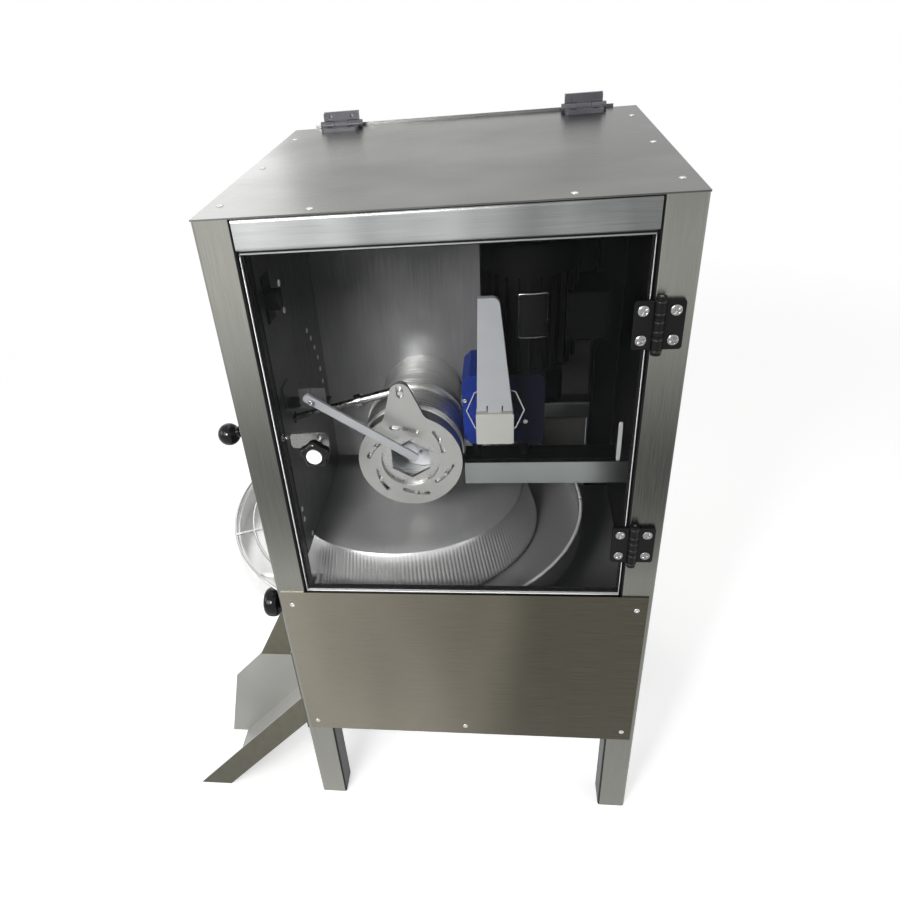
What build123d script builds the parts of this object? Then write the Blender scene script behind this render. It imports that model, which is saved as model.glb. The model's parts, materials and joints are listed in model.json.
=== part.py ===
from build123d import *
import math
import os

# Dough divider rounder: a stainless cabinet with a clear front door. An auger pushes
# dough from the rear hopper through a barrel to an adjustable iris, a turning knife cuts
# it off, and the pieces are rounded between a fluted cone and a bowl, then roll down a chute.
# Modelling frame in millimetres: x to the right, y into the depth from the front of the
# posts, z up from the floor. ROW_ORIGIN moves everything to the bottom centre of the whole.

# Fits
GAP = 0.3            # between separate moving faces
RUN = 0.05           # radial clearance of a running fit
PAST = 1.0           # a cut runs past a face by this much

# Cabinet
WIDTH = 600.0
DEPTH = 580.0
HEIGHT = 1150.0
POST = 50.0
RAIL = 40.0
TUBE_WALL = 2.5
TUBE_CORNER = 5.0    # outer corner of a square tube
SHEET = 2.0
LEG = 205.0          # floor to the underside of the cabinet
SILL = 550.0         # top edge of the front panel
SILL_RETURN = 14.0   # folded top edge of the front panel
PANEL_INSET = 7.0    # front panel stops short of the posts' outer faces
REAR_RISE = 50.0     # bottom of the rear opening above the front panel's edge
PLUG_HEIGHT = 25.0

# Front door and its hinges
PANE = 6.0
DOOR_GAP = 3.0
SEAL_WIDTH = 6.0
SEAL_DEPTH = 8.0
HINGE_OUTSET = 8.5   # hinge axis from the door opening's edge
HINGE_LOW = 103.0    # hinge middles from the door's lower and upper ends
HINGE_HIGH = 108.0
LEAF_WIDTH = 30.0
LEAF_HEIGHT = 63.0
LEAF_THICK = 6.0
LEAF_CORNER = 4.0
BARREL_LENGTH = 75.0
BARREL_RADIUS = 6.5
BARREL_OFFSET = 7.0  # barrel centre to the face that the leaf is screwed on
KNUCKLE_GAP = 0.6
HINGE_PIN_RADIUS = 2.5
SCREW_SPACING = 38.0
LEAF_SCREW_RADIUS = 2.6
LEAF_SCREW_SHARE = 0.63  # screws from the barrel's middle, as a share of the leaf

# Door latch
LATCH_INSET = 62.0   # spindle from the door opening's edge
SPINDLE_RADIUS = 4.0
KNOB_RADIUS = 22.5
KNOB_LOBES = 5
KNOB_COLLAR = 8.0
KNOB_THICK = 18.0
CAP_RADIUS = 11.0
CAP_THICK = 3.0
TONGUE_REACH = 44.0
TONGUE_TAIL = 12.0
TONGUE_HEIGHT = 24.0
TONGUE_THICK = 3.0
TONGUE_Y = 16.0
STRIKE_RADIUS = 4.0
STRIKE_REACH = 11.0
STRIKE_Y = 26.0
SWITCH_Y = (72.0, 104.0)
SWITCH_RISE = 21.0   # plate's middle above halfway from the stripper's bracket to the top rail
SWITCH_HEIGHT = 65.0
SWITCH_REACH = 20.0

# Rear hatch
HATCH_HINGE_INSET = 90.0
HATCH_AXIS_INSET = 20.0
HATCH_LEAF_RISE = 20.5
HATCH_OVERLAP = 12.0
HATCH_CLEAR = 1.0
HATCH_JOG = 3.0      # hatch tab fold above the top sheet
HANDLE_SPAN = 140.0
HANDLE_REACH = 32.0
HANDLE_BAR = 5.0
HANDLE_RISE = 60.0   # handle above the rear opening's edge

# Inner walls
LINER_RISE = 40.0    # lower edges of the inner walls above the front panel's edge
PARTITION_RISE = 50.0
PARTITION_Y = 341.0
PARTITION_REACH = 109.0
PARTITION_FOLD = 20.0

# Divider head and barrel
HEAD_X = -73.0
HEAD_RISE = 188.0    # head's axis above the front panel's edge
HEAD_FACE_Y = 100.0
RING_RADIUS = 82.0
RING_PLATE = 6.0
RING_WINDOW = 46.0
RING_SKIRT = 18.0
BODY_RADIUS = 76.0
BODY_DEPTH = 20.0
NOZZLE_BORE = 40.0
BARREL_BORE = 52.0
BARREL_WALL = 10.0
FLANGE_THICK = 8.0
DRUM_RADIUS = 82.0   # turned drum behind the ring
DRUM_LENGTH = 50.0
GROOVE_RADIUS = 74.0
GROOVE_LENGTH = 20.0
BAND_RADIUS = 83.0
BAND_LENGTH = 14.0
BELL_RADIUS = 80.0
BELL_LENGTH = 45.0
BELL_END_RADIUS = 70.0

# Iris leaves, driven by slots in the ring
LEAVES = 6
LEAF_PLATE = 6.0
APERTURE = 30.0      # half the width across the flats at rest
LEAF_OUTER = 66.0
LEAF_TRAVEL = 9.0
RING_SWING = 10.0    # degrees each way
LEAF_PIN_RADIUS = 3.0
LEAF_PIN_AT = 60.0   # radius of the pin's place
LEAF_PIN_ANGLE = -25.0
SLOT_CLEAR = 0.4
KEY_WIDTH = 8.0
KEY_LENGTH = 20.0
KEY_DEPTH = 5.0

# Adjusting rod with its ball knob
EYE_DX = -7.0        # eye from the head's axis
EYE_DZ = 120.0
ROD_Y = 113.0
ROD_TILT = 14.4      # degrees down to the left
ROD_RADIUS = 5.0
SLEEVE_RADIUS = 6.5
SLEEVE_LENGTH = 62.0
COLLAR_RADIUS = 10.0
COLLAR_LENGTH = 11.0
EYE_RADIUS = 11.0
EYE_THICK = 12.0
EYE_PIN_RADIUS = 4.0
EYE_SLOT_WIDTH = 10.8
EYE_SLOT_IN = 3.0
EYE_SLOT_OUT = 7.0
EAR_RADIUS = 16.0
EAR_ROOT = 55.0      # circle that the ear's straight sides run towards
EAR_BLEND = 18.0
BALL_STAND = 66.0    # ball's middle beyond the cabinet's side, along the rod
BALL_RADIUS = 18.0
BALL_NECK = 9.0
BUSH_RADIUS = 12.0
BUSH_LENGTH = 44.0
BUSH_PLATE = 44.0

# Auger
AUGER_SHAFT = 12.5
AUGER_CLEAR = 1.0
AUGER_BLADE = 8.0
AUGER_LEAD = 120.0
AUGER_START_Y = 142.0

# Gear units, all of one size
CASE_BACK = 50.0     # output axis to the case's back
CASE_FRONT = 75.0    # output axis to the case's worm side
CASE_HALF_LENGTH = 60.0
CASE_HALF_DEPTH = 46.0
CASE_CHAMFER = 12.0  # corners round the output
CASE_CORNER = 8.0    # corners on the worm side
CASE_RIM = 45.0      # eight-sided recess round the output, to its corners
CASE_BOSS = 38.0
WORM_OFFSET = 50.0
MOTOR_FLANGE = 8.0
MOTOR_FINS = 12
TERMINAL_BOX = (40.0, 86.0, 74.0)

# Knife and its drive
KNIFE_CLEAR = 50.0   # knife's axis to the right of the barrel's widest band
KNIFE_RISE = 66.0    # knife's axis above the head's
KNIFE_Y = 88.0
KNIFE_THICK = 9.0
KNIFE_REACH = 200.0
KNIFE_ROOT = 52.0
KNIFE_TIP = 29.0
KNIFE_LEAN = 5.0     # how far the straight edge leans in by the tip
KNIFE_CORNER = 10.0
KNIFE_SLIT = 2.0
KNIFE_SLIT_DEEP = 9.0
HUB_WIDTH = 55.0
HUB_HEIGHT = 51.0
HUB_DEPTH = 20.0
TONGUE_SLOT = 20.0
TONGUE_DEEP = 10.0
KNIFE_MOTOR_RADIUS = 70.0
MOTOR_HEADROOM = 83.0
CROSS_RAIL_Y = 140.0
CROSS_RAIL_INSET = 50.0
STAND_HEIGHT = 36.0
STAND_BAR = 8.0
STAND_STUD = 8.0
STAND_STUD_INSET = 30.0

# Hopper and auger drive
HOPPER_INSET = 10.0
HOPPER_REACH = 103.0
HOPPER_BACK_INSET = 20.0
HOPPER_DROP = 150.0
THROAT_WIDTH = 76.0
THROAT_FRONT = 15.0  # throat behind the partition, and before the gear unit
THROAT_REAR = 17.0
DRIVE_CLEAR = 23.0   # auger's gear unit before the hatch
DRIVE_MOTOR_RADIUS = 62.0
DRIVE_MOTOR_LENGTH = 190.0

# Stripper bar on its bracket
STRIP_INSET = 38.0   # upper end from the liner, and above the head's axis
STRIP_RISE = 132.0
STRIP_END_ASIDE = 11.0
STRIP_END_RISE = 29.0
STRIP_WIDTH = 13.0
STRIP_THICK = 5.0
STRIP_Y = 66.0
STRIP_PLATE_WIDTH = 65.0
STRIP_PLATE_BACK = 105.0
STRIP_PLATE_DROP = 18.0
STRIP_LUG = 33.0
STRIP_SLOT = 30.0
STRIP_SLOT_WIDTH = 9.0

# Rounder
CONE_INSET = 185.0   # axis from the cabinet's left side; the cone and bowl stand out there
CONE_RISE = 20.0
CONE_TOP_RADIUS = 20.0
RIDGE_RISE = 25.0    # ridge above the front panel's edge
FLANK_SPREAD = 28.0
SKIRT_CLEAR = 7.5    # skirt to the bowl's wall at the corner posts
SKIRT_LIFT = 7.0
FLUTES = 180
FLUTE_DEPTH = 1.6
CONE_WALL = 8.0
CONE_HUB = 34.0
CONE_SHAFT = 12.5
BOWL_DROP = 64.0     # floor and rim below the front panel's edge
BOWL_RIM_DROP = 21.0
BOWL_WALL = 4.0
TROUGH = 82.0        # skirt to the outside of the round wall
FRONT_TROUGH = 20.0  # skirt to the inside of the straight wall
POST_CLEAR_X = 4.0   # bowl beside the left posts
POST_CLEAR_Y = 12.0
BEAD = 4.0
BOWL_BOSS = 42.0
BOWL_BOSS_DROP = 24.0
DRIVE_ROOM = 145.0   # base sheet to the shelf
SHELF = 3.0
SHELF_CLEAR = 1.0
RISER = 20.0
RISER_WALL = 10.0
PILLARS = 3
PILLAR_AT = 170.0
PILLAR_RADIUS = 12.0

# Outlet, chute and guard on the left side
WINDOW_CLEAR = 3.0   # bowl to the edge of the window in the left side
OUTLET_NEAR = 3.0    # hole in the bowl's floor, from the cabinet's side and behind the bowl's edge
OUTLET_LENGTH = 42.0
OUTLET_WIDTH = 62.0
CHUTE_SLOPE = 1.075  # fall for each unit outwards
CHUTE_REACH = 200.0
CHUTE_FOOT_Z = 2.0
CHUTE_Y = (3.0, 140.0)
CHUTE_LIP = 66.0     # height of the front lip, measured plumb
CHUTE_FLANGE = 205.0
CHUTE_CLEAR = 3.0    # chute's back below the bowl
CHUTE_KNEE_REACH = 120.0
CHUTE_KNEE_Z = 253.0
CHUTE_CORNER_REACH = 187.0
CHUTE_CORNER_Z = 183.0
CHUTE_TOE_REACH = 233.0
GUARD_LIFT = 6.0     # wires above the bowl's rim
GUARD_INSET = 2.0    # outer hoop inside the bowl's round edge
GUARD_CLEAR = 12.0   # inner hoop outside the cone's skirt
GUARD_HOOPS = 3
GUARD_WIRE = 2.5
GUARD_SPOKES = (150.0, 171.0, 192.0, 213.0)
GUARD_STRIP = 14.0

# Hand knob on the front left post
HAND_KNOB_DROP = 47.0
HAND_KNOB_RADIUS = 25.0
HAND_KNOB_THICK = 26.0
HAND_KNOB_STUD = 5.0
HAND_KNOB_STAND = 7.0

# Controls on the right side
CONTROL_INSET = 190.0
CONTROL_WIDTH = 140.0
CONTROL_DROP = 100.0
CONTROL_HEIGHT = 120.0
CONTROL_DEPTH = 18.0
BUTTON_INSET = 35.0
BUTTON_RISE = 34.0
DIAL_DROP = 38.0
BUTTON_RADIUS = 11.0
BUTTON_STAND = 8.0
BUTTON_TRAVEL = 4.0
BEZEL_RADIUS = 15.0
BEZEL_STAND = 4.0
DIAL_RADIUS = 16.0
DIAL_STAND = 12.0

# Mains inlet
GLAND_INSET = 130.0
GLAND_RISE = 65.0
GLAND_RADIUS = 14.0
GLAND_BORE = 5.5
GLAND_REACH = 26.0

# Places worked out from the sizes
HALF = WIDTH / 2
INNER = HALF - POST
POST_TOP = HEIGHT - SHEET
RAIL_TOP = POST_TOP - RAIL
BACK = DEPTH - SHEET
REAR_SILL = SILL + REAR_RISE
HINGE_AXIS_X = INNER + HINGE_OUTSET
DOOR_X = (-INNER + DOOR_GAP, INNER - DOOR_GAP)
DOOR_Z = (SILL + DOOR_GAP, RAIL_TOP - DOOR_GAP)
HINGE_LEVELS = (DOOR_Z[0] + HINGE_LOW, DOOR_Z[1] - HINGE_HIGH)
LATCH_X = -INNER + LATCH_INSET
LATCH_Z = (DOOR_Z[0] + DOOR_Z[1]) / 2
HATCH_HINGES = (-HALF + HATCH_HINGE_INSET, HALF - HATCH_HINGE_INSET)
HATCH_AXIS_Y = DEPTH - HATCH_AXIS_INSET
HATCH_AXIS_Z = HEIGHT + BARREL_OFFSET
HATCH_FACE_Y = HATCH_AXIS_Y + BARREL_OFFSET
HATCH_Y = DEPTH + HATCH_CLEAR
HATCH_FOLD_Z = HEIGHT + HATCH_JOG
HANDLE_Z = REAR_SILL + HANDLE_RISE
LINER_BOTTOM = SILL + LINER_RISE
PARTITION_BOTTOM = SILL + PARTITION_RISE
PARTITION_RIGHT = HEAD_X + PARTITION_REACH
HEAD_Z = SILL + HEAD_RISE
EYE_X = HEAD_X + EYE_DX
EYE_Z = HEAD_Z + EYE_DZ
ROD_LENGTH = (EYE_X + HALF) / math.cos(math.radians(ROD_TILT)) + BALL_STAND
ROD_DIR = Vector(math.cos(math.radians(ROD_TILT)), 0, math.sin(math.radians(ROD_TILT)))
LEAF_Y = HEAD_FACE_Y + RING_PLATE + GAP
BODY_Y = LEAF_Y + LEAF_PLATE + GAP
BARREL_OUTER = BARREL_BORE + BARREL_WALL
BARREL_FRONT_Y = BODY_Y + BODY_DEPTH
LEAF_RATE = LEAF_TRAVEL / math.radians(RING_SWING)
KNIFE_X = HEAD_X + BAND_RADIUS + KNIFE_CLEAR
KNIFE_Z = HEAD_Z + KNIFE_RISE
KNIFE_SEAT_Z = KNIFE_Z - CASE_HALF_LENGTH
KNIFE_CASE_Y = BARREL_FRONT_Y + FLANGE_THICK + GAP
KNIFE_CASE_MID = KNIFE_CASE_Y + CASE_HALF_DEPTH
KNIFE_MOTOR_LENGTH = POST_TOP - MOTOR_HEADROOM - (KNIFE_Z + CASE_HALF_LENGTH + MOTOR_FLANGE)
CROSS_RAIL_Z = KNIFE_SEAT_Z - STAND_HEIGHT - RAIL
CROSS_RAIL_LEFT = KNIFE_X - CROSS_RAIL_INSET
AUGER_CASE_Y = DEPTH - DRIVE_CLEAR - 2 * CASE_HALF_DEPTH
AUGER_CASE_MID = AUGER_CASE_Y + CASE_HALF_DEPTH
THROAT_Y = (PARTITION_Y + THROAT_FRONT, AUGER_CASE_Y - THROAT_REAR)
NECK_TOP = HEAD_Z + BARREL_OUTER
HOPPER_X = (-INNER + HOPPER_INSET, HEAD_X + HOPPER_REACH)
HOPPER_BACK_Y = DEPTH - HOPPER_BACK_INSET
HOPPER_TOP = HEIGHT - HOPPER_DROP
STRIP_TOP = (-INNER + STRIP_INSET, HEAD_Z + STRIP_RISE)
STRIP_END = (HEAD_X + STRIP_END_ASIDE, HEAD_Z + STRIP_END_RISE)
STRIP_PLATE_RIGHT = -INNER + STRIP_PLATE_WIDTH
STRIP_PLATE_Z = STRIP_TOP[1] - STRIP_PLATE_DROP
STRIP_LUG_TOP = STRIP_PLATE_Z + STRIP_LUG
SWITCH_MIDDLE = (STRIP_LUG_TOP + RAIL_TOP) / 2 + SWITCH_RISE
SWITCH_Z = (SWITCH_MIDDLE - SWITCH_HEIGHT / 2, SWITCH_MIDDLE + SWITCH_HEIGHT / 2)
SHELF_Z = LEG + RAIL + SHEET + DRIVE_ROOM
ROUNDER_CASE_MID = SHELF_Z - RISER - CASE_HALF_DEPTH
CONE_X = -HALF + CONE_INSET
CONE_Y = DEPTH / 2
BOWL_POST_X = -INNER + POST_CLEAR_X
BOWL_SIDE_Y = POST + POST_CLEAR_Y
SKIRT_RADIUS = math.hypot(CONE_X - BOWL_POST_X - BOWL_WALL, CONE_Y - BOWL_SIDE_Y - BOWL_WALL) - SKIRT_CLEAR
RIDGE_RADIUS = SKIRT_RADIUS - FLANK_SPREAD
RIDGE_Z = SILL + RIDGE_RISE
CONE_TOP = RIDGE_Z + CONE_RISE
BOWL_FLOOR = SILL - BOWL_DROP
BOWL_UNDER = BOWL_FLOOR - BOWL_WALL
BOWL_RIM = SILL - BOWL_RIM_DROP
BOWL_RADIUS = SKIRT_RADIUS + TROUGH
BOWL_FRONT_Y = CONE_Y - SKIRT_RADIUS - FRONT_TROUGH - BOWL_WALL
SKIRT_Z = BOWL_FLOOR + SKIRT_LIFT
OUTLET_X = (-HALF - OUTLET_NEAR - OUTLET_LENGTH, -HALF - OUTLET_NEAR)
OUTLET_START_Y = BOWL_SIDE_Y + 2 * BOWL_WALL
OUTLET_Y = (OUTLET_START_Y, OUTLET_START_Y + OUTLET_WIDTH)
CHUTE_FOOT_X = -HALF - CHUTE_REACH
CHUTE_END_X = CHUTE_FOOT_X - CHUTE_LIP / CHUTE_SLOPE
CHUTE_BACK_TOP = BOWL_UNDER - CHUTE_CLEAR
GUARD_Z = BOWL_RIM + GUARD_LIFT
GUARD_RADIUS = BOWL_RADIUS - GUARD_INSET
GUARD_INNER = SKIRT_RADIUS + GUARD_CLEAR
GUARD_STEP = (GUARD_RADIUS - GUARD_INNER) / (GUARD_HOOPS - 1)
HAND_KNOB_Z = SILL - HAND_KNOB_DROP
CONTROL_Y = (DEPTH - CONTROL_INSET - CONTROL_WIDTH, DEPTH - CONTROL_INSET)
CONTROL_Z = (HEIGHT - CONTROL_DROP - CONTROL_HEIGHT, HEIGHT - CONTROL_DROP)
GLAND_X = HALF - GLAND_INSET
GLAND_Z = LEG + GLAND_RISE

# Outermost reach each way, which sets the row's origin
REACH_LEFT = CHUTE_END_X
REACH_RIGHT = HALF + CONTROL_DEPTH + DIAL_STAND
REACH_FRONT = -(KNOB_COLLAR + KNOB_THICK + CAP_THICK)
REACH_BACK = HATCH_Y + SHEET + HANDLE_REACH
ROW_ORIGIN = Vector((REACH_LEFT + REACH_RIGHT) / 2, (REACH_FRONT + REACH_BACK) / 2, 0)


# Shared building blocks

def block(x, y, z):
    """A box between two values on each axis."""
    centre = Pos((x[0] + x[1]) / 2, (y[0] + y[1]) / 2, (z[0] + z[1]) / 2)
    return centre * Box(x[1] - x[0], y[1] - y[0], z[1] - z[0])


def area(x, y):
    """A flat rectangle between two values on each axis."""
    return Pos((x[0] + x[1]) / 2, (y[0] + y[1]) / 2) * Rectangle(x[1] - x[0], y[1] - y[0])


def tube(x, y, z, along):
    """A hollow square tube with rounded corners that runs along the axis with the given number."""
    spans = [x, y, z]
    middle = [(low + high) / 2 for low, high in spans]
    length = spans[along][1] - spans[along][0]
    wide, high = [end - start for i, (start, end) in enumerate(spans) if i != along]
    wall = RectangleRounded(wide, high, TUBE_CORNER)
    wall -= RectangleRounded(wide - 2 * TUBE_WALL, high - 2 * TUBE_WALL, TUBE_CORNER - TUBE_WALL)
    plane = (Plane.YZ, Plane.XZ, Plane.XY)[along]
    return Pos(*middle) * extrude(plane * wall, length / 2, both=True)


def facing(sketch, y, thick):
    """A plate whose outline is drawn in x and z, from depth y backwards."""
    return Pos(0, y + thick, 0) * extrude(Plane.XZ * sketch, thick)


def outline(*points):
    """A flat face with straight edges."""
    return make_face(Polyline(*points, close=True))


def turned(points, x, y):
    """A turned piece about an upright axis, from radius and height."""
    return Pos(x, y, 0) * revolve(Plane.XZ * outline(*points), Axis.Z)


def turned_deep(points, x, z):
    """A turned piece about a line into the depth, from radius and depth."""
    return Pos(x, 0, z) * revolve(outline(*points), Axis.Y)


def bar(start, direction, radius, length):
    """A round bar from a point along a direction."""
    return extrude(Plane(origin=start, z_dir=direction) * Circle(radius), length)


def at(x, y, sketch):
    """A sketch moved on its own plane."""
    return Pos(x, y) * sketch


def polar(radius, degrees):
    """A point on a circle about the origin."""
    turn = math.radians(degrees)
    return Vector(radius * math.cos(turn), radius * math.sin(turn))


# Cabinet

def corner_posts():
    posts = []
    for x in (-HALF, INNER):
        for y in (0, DEPTH - POST):
            posts.append(tube((x, x + POST), (y, y + POST), (0, POST_TOP), 2))
    return posts


def leg_plugs():
    side = POST - 2 * TUBE_WALL - 2 * RUN
    plugs = []
    for x in (-HALF + POST / 2, HALF - POST / 2):
        for y in (POST / 2, DEPTH - POST / 2):
            section = RectangleRounded(side, side, TUBE_CORNER - TUBE_WALL)
            plugs.append(Pos(x, y, 0) * extrude(section, PLUG_HEIGHT))
    return plugs


def frame_rails():
    rails = []
    between_y = (POST, DEPTH - POST)
    for low in (LEG, RAIL_TOP):
        level = (low, low + RAIL)
        rails.append(tube((-INNER, INNER), (0, RAIL), level, 0))
        rails.append(tube((-INNER, INNER), (BACK - RAIL, BACK), level, 0))
    for low in (LEG, SHELF_Z - RAIL, RAIL_TOP):
        level = (low, low + RAIL)
        left = -HALF + SHEET
        rails.append(tube((left, left + RAIL), between_y, level, 1))
        rails.append(tube((-left - RAIL, -left), between_y, level, 1))
    rails.append(tube((-INNER, INNER), (BACK - RAIL, BACK), (REAR_SILL - RAIL, REAR_SILL), 0))
    return rails


def top_sheet():
    return block((-HALF, HALF), (0, DEPTH), (POST_TOP, HEIGHT))


def front_panel():
    wide = HALF - PANEL_INSET
    face = block((-wide, wide), (-SHEET, 0), (LEG, SILL))
    sill = block((-INNER, INNER), (-SHEET, SILL_RETURN), (SILL - SHEET, SILL))
    return face + sill


def right_side_panel():
    return block((HALF - SHEET, HALF), (POST, DEPTH - POST), (LEG, POST_TOP))


def rod_point(x):
    """Where the adjusting rod's line passes a given x."""
    return Vector(x, ROD_Y, EYE_Z + (x - EYE_X) * math.tan(math.radians(ROD_TILT)))


def left_side_panel():
    panel = block((-HALF, -HALF + SHEET), (POST, DEPTH - POST), (LEG, POST_TOP))
    edge = BOWL_SIDE_Y - WINDOW_CLEAR
    window_z = (BOWL_UNDER - WINDOW_CLEAR, LINER_BOTTOM)
    panel -= block((-HALF - PAST, -HALF + SHEET + PAST), (edge, DEPTH - edge), window_z)
    hole = rod_point(-HALF)
    return panel - bar((-HALF - POST, ROD_Y, hole.Z), (1, 0, 0), BUSH_RADIUS + SHEET, 2 * POST)


def left_liner():
    x = (-INNER - SHEET, -INNER)
    liner = block(x, (POST, PARTITION_Y), (LINER_BOTTOM, POST_TOP))
    hole = rod_point(-INNER)
    return liner - bar((-INNER - POST, ROD_Y, hole.Z), (1, 0, 0), 2 * ROD_RADIUS, 2 * POST)


def back_panel():
    panel = block((-INNER, INNER), (BACK, DEPTH), (LEG, REAR_SILL - RAIL))
    hole = bar((GLAND_X, BACK - PAST, GLAND_Z), (0, 1, 0), GLAND_RADIUS / 2 + RUN, SHEET + 2 * PAST)
    return panel - hole


def base_sheet():
    level = LEG + RAIL
    return block((-INNER, INNER), (0, BACK), (level, level + SHEET))


def partition():
    x = (-INNER, PARTITION_RIGHT)
    z = (PARTITION_BOTTOM, POST_TOP)
    wall = block(x, (PARTITION_Y, PARTITION_Y + SHEET), z)
    fold = block((x[1] - SHEET, x[1]), (PARTITION_Y, PARTITION_Y + PARTITION_FOLD), z)
    hole = bar((HEAD_X, PARTITION_Y - PAST, HEAD_Z), (0, 1, 0), BARREL_OUTER + RUN, SHEET + 2 * PAST)
    return wall + fold - hole


# Hinges: three knuckles on a pin, the outer two on the fixed leaf

KNUCKLE = BARREL_LENGTH / 3


def hinge_leaf(width, length, outer):
    """A leaf in its own frame: barrel along z, leaf towards +x, screwed face at +y."""
    leaf = block((0, width), (BARREL_OFFSET - LEAF_THICK, BARREL_OFFSET), (-length / 2, length / 2))
    leaf = fillet(leaf.edges().filter_by(Axis.Y).group_by(Axis.X)[-1], LEAF_CORNER)
    for level in (-KNUCKLE, 0, KNUCKLE):
        mine = outer == (level != 0)
        if mine:
            leaf += Pos(0, 0, level) * Cylinder(BARREL_RADIUS, KNUCKLE - KNUCKLE_GAP)
        else:
            leaf -= Pos(0, 0, level) * Cylinder(BARREL_RADIUS + KNUCKLE_GAP, KNUCKLE + KNUCKLE_GAP)
    leaf -= Cylinder(HINGE_PIN_RADIUS + RUN, BARREL_LENGTH)
    screw = Rot(90, 0, 0) * Cylinder(LEAF_SCREW_RADIUS, 4 * LEAF_THICK)
    for side in (-SCREW_SPACING / 2, SCREW_SPACING / 2):
        leaf -= Pos(LEAF_SCREW_SHARE * width, 0, side) * screw
    return leaf


DOOR_HINGE_PLACES = [
    Plane(origin=(HINGE_AXIS_X, -BARREL_OFFSET, z), x_dir=(1, 0, 0), z_dir=(0, 0, 1))
    for z in HINGE_LEVELS
]
HATCH_FIXED_PLACES = [
    Plane(origin=(x, HATCH_AXIS_Y, HATCH_AXIS_Z), x_dir=(0, -1, 0), z_dir=(1, 0, 0))
    for x in HATCH_HINGES
]
HATCH_MOVING_PLACES = [
    Plane(origin=(x, HATCH_AXIS_Y, HATCH_AXIS_Z), x_dir=(0, 0, 1), z_dir=(-1, 0, 0))
    for x in HATCH_HINGES
]


def door_hinge_fixed():
    return [place * hinge_leaf(LEAF_WIDTH, LEAF_HEIGHT, True) for place in DOOR_HINGE_PLACES]


def door_hinge_moving():
    leaf = Rot(0, 180, 0) * hinge_leaf(LEAF_WIDTH, LEAF_HEIGHT, False)
    return [place * leaf for place in DOOR_HINGE_PLACES]


def hatch_hinge_fixed():
    return [place * hinge_leaf(LEAF_WIDTH, LEAF_HEIGHT, True) for place in HATCH_FIXED_PLACES]


def hatch_hinge_moving():
    return [place * hinge_leaf(HATCH_LEAF_RISE, LEAF_HEIGHT, False) for place in HATCH_MOVING_PLACES]


def hinge_pins():
    pin = Cylinder(HINGE_PIN_RADIUS, BARREL_LENGTH)
    return [place * pin for place in DOOR_HINGE_PLACES + HATCH_FIXED_PLACES]


# Front door

def door_pane():
    pane = block(DOOR_X, (0, PANE), DOOR_Z)
    return pane - bar((LATCH_X, -PAST, LATCH_Z), (0, 1, 0), SPINDLE_RADIUS + RUN, PANE + 2 * PAST)


def door_seal():
    y = (PANE + GAP, PANE + GAP + SEAL_DEPTH)
    ring = block((-INNER, INNER), y, (SILL, RAIL_TOP))
    edge = INNER - SEAL_WIDTH
    return ring - block((-edge, edge), y, (SILL + SEAL_WIDTH, RAIL_TOP - SEAL_WIDTH))


def star_knob():
    lobe_radius = 0.32 * KNOB_RADIUS
    star = Circle(0.8 * KNOB_RADIUS)
    for n in range(KNOB_LOBES):
        place = polar(KNOB_RADIUS - lobe_radius, 90 + n * 360 / KNOB_LOBES)
        star += at(place.X, place.Y, Circle(lobe_radius))
    front = -(KNOB_COLLAR + KNOB_THICK)
    knob = facing(at(LATCH_X, LATCH_Z, star), front, KNOB_THICK)
    knob += bar((LATCH_X, -KNOB_COLLAR, LATCH_Z), (0, 1, 0), KNOB_RADIUS / 2, KNOB_COLLAR - GAP)
    middle = -KNOB_COLLAR - KNOB_THICK / 2
    return knob - bar((LATCH_X, middle, LATCH_Z), (0, 1, 0), SPINDLE_RADIUS + RUN, POST)


def star_knob_cap():
    front = -(KNOB_COLLAR + KNOB_THICK + CAP_THICK)
    return bar((LATCH_X, front, LATCH_Z), (0, 1, 0), CAP_RADIUS, CAP_THICK)


def latch_tongue():
    plate = facing(at(LATCH_X + (TONGUE_TAIL - TONGUE_REACH) / 2, LATCH_Z,
                      RectangleRounded(TONGUE_REACH + TONGUE_TAIL, TONGUE_HEIGHT, TONGUE_HEIGHT / 4)),
                   TONGUE_Y, TONGUE_THICK)
    start = -KNOB_COLLAR - KNOB_THICK / 2
    length = TONGUE_Y + TONGUE_THICK - start
    return plate + bar((LATCH_X, start, LATCH_Z), (0, 1, 0), SPINDLE_RADIUS, length)


def strike_bolt():
    head = bar((-INNER, STRIKE_Y, LATCH_Z), (1, 0, 0), 1.6 * STRIKE_RADIUS, STRIKE_REACH / 3)
    return head + bar((-INNER, STRIKE_Y, LATCH_Z), (1, 0, 0), STRIKE_RADIUS, STRIKE_REACH)


def door_switch():
    plate = block((-INNER, -INNER + SHEET), SWITCH_Y, SWITCH_Z)
    body_y = (SWITCH_Y[0], SWITCH_Y[0] + SWITCH_REACH)
    body_z = (SWITCH_Z[0] + SWITCH_REACH, SWITCH_Z[1] - SWITCH_REACH)
    return plate + block((-INNER, -INNER + SWITCH_REACH), body_y, body_z)


# Rear hatch, hung from tabs that rise behind the hinges

HATCH_HALF = INNER + HATCH_OVERLAP


def hatch_panel():
    rear = HATCH_Y + SHEET
    bottom = REAR_SILL - HATCH_OVERLAP
    panel = block((-HATCH_HALF, HATCH_HALF), (HATCH_Y, rear), (bottom, HATCH_FOLD_Z + SHEET))
    for x in HATCH_HINGES:
        tab = (x - LEAF_HEIGHT / 2, x + LEAF_HEIGHT / 2)
        panel += block(tab, (HATCH_FACE_Y, rear), (HATCH_FOLD_Z, HATCH_FOLD_Z + SHEET))
        rise = (HATCH_FOLD_Z, HATCH_AXIS_Z + HATCH_LEAF_RISE)
        panel += block(tab, (HATCH_FACE_Y, HATCH_FACE_Y + SHEET), rise)
    return panel


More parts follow.
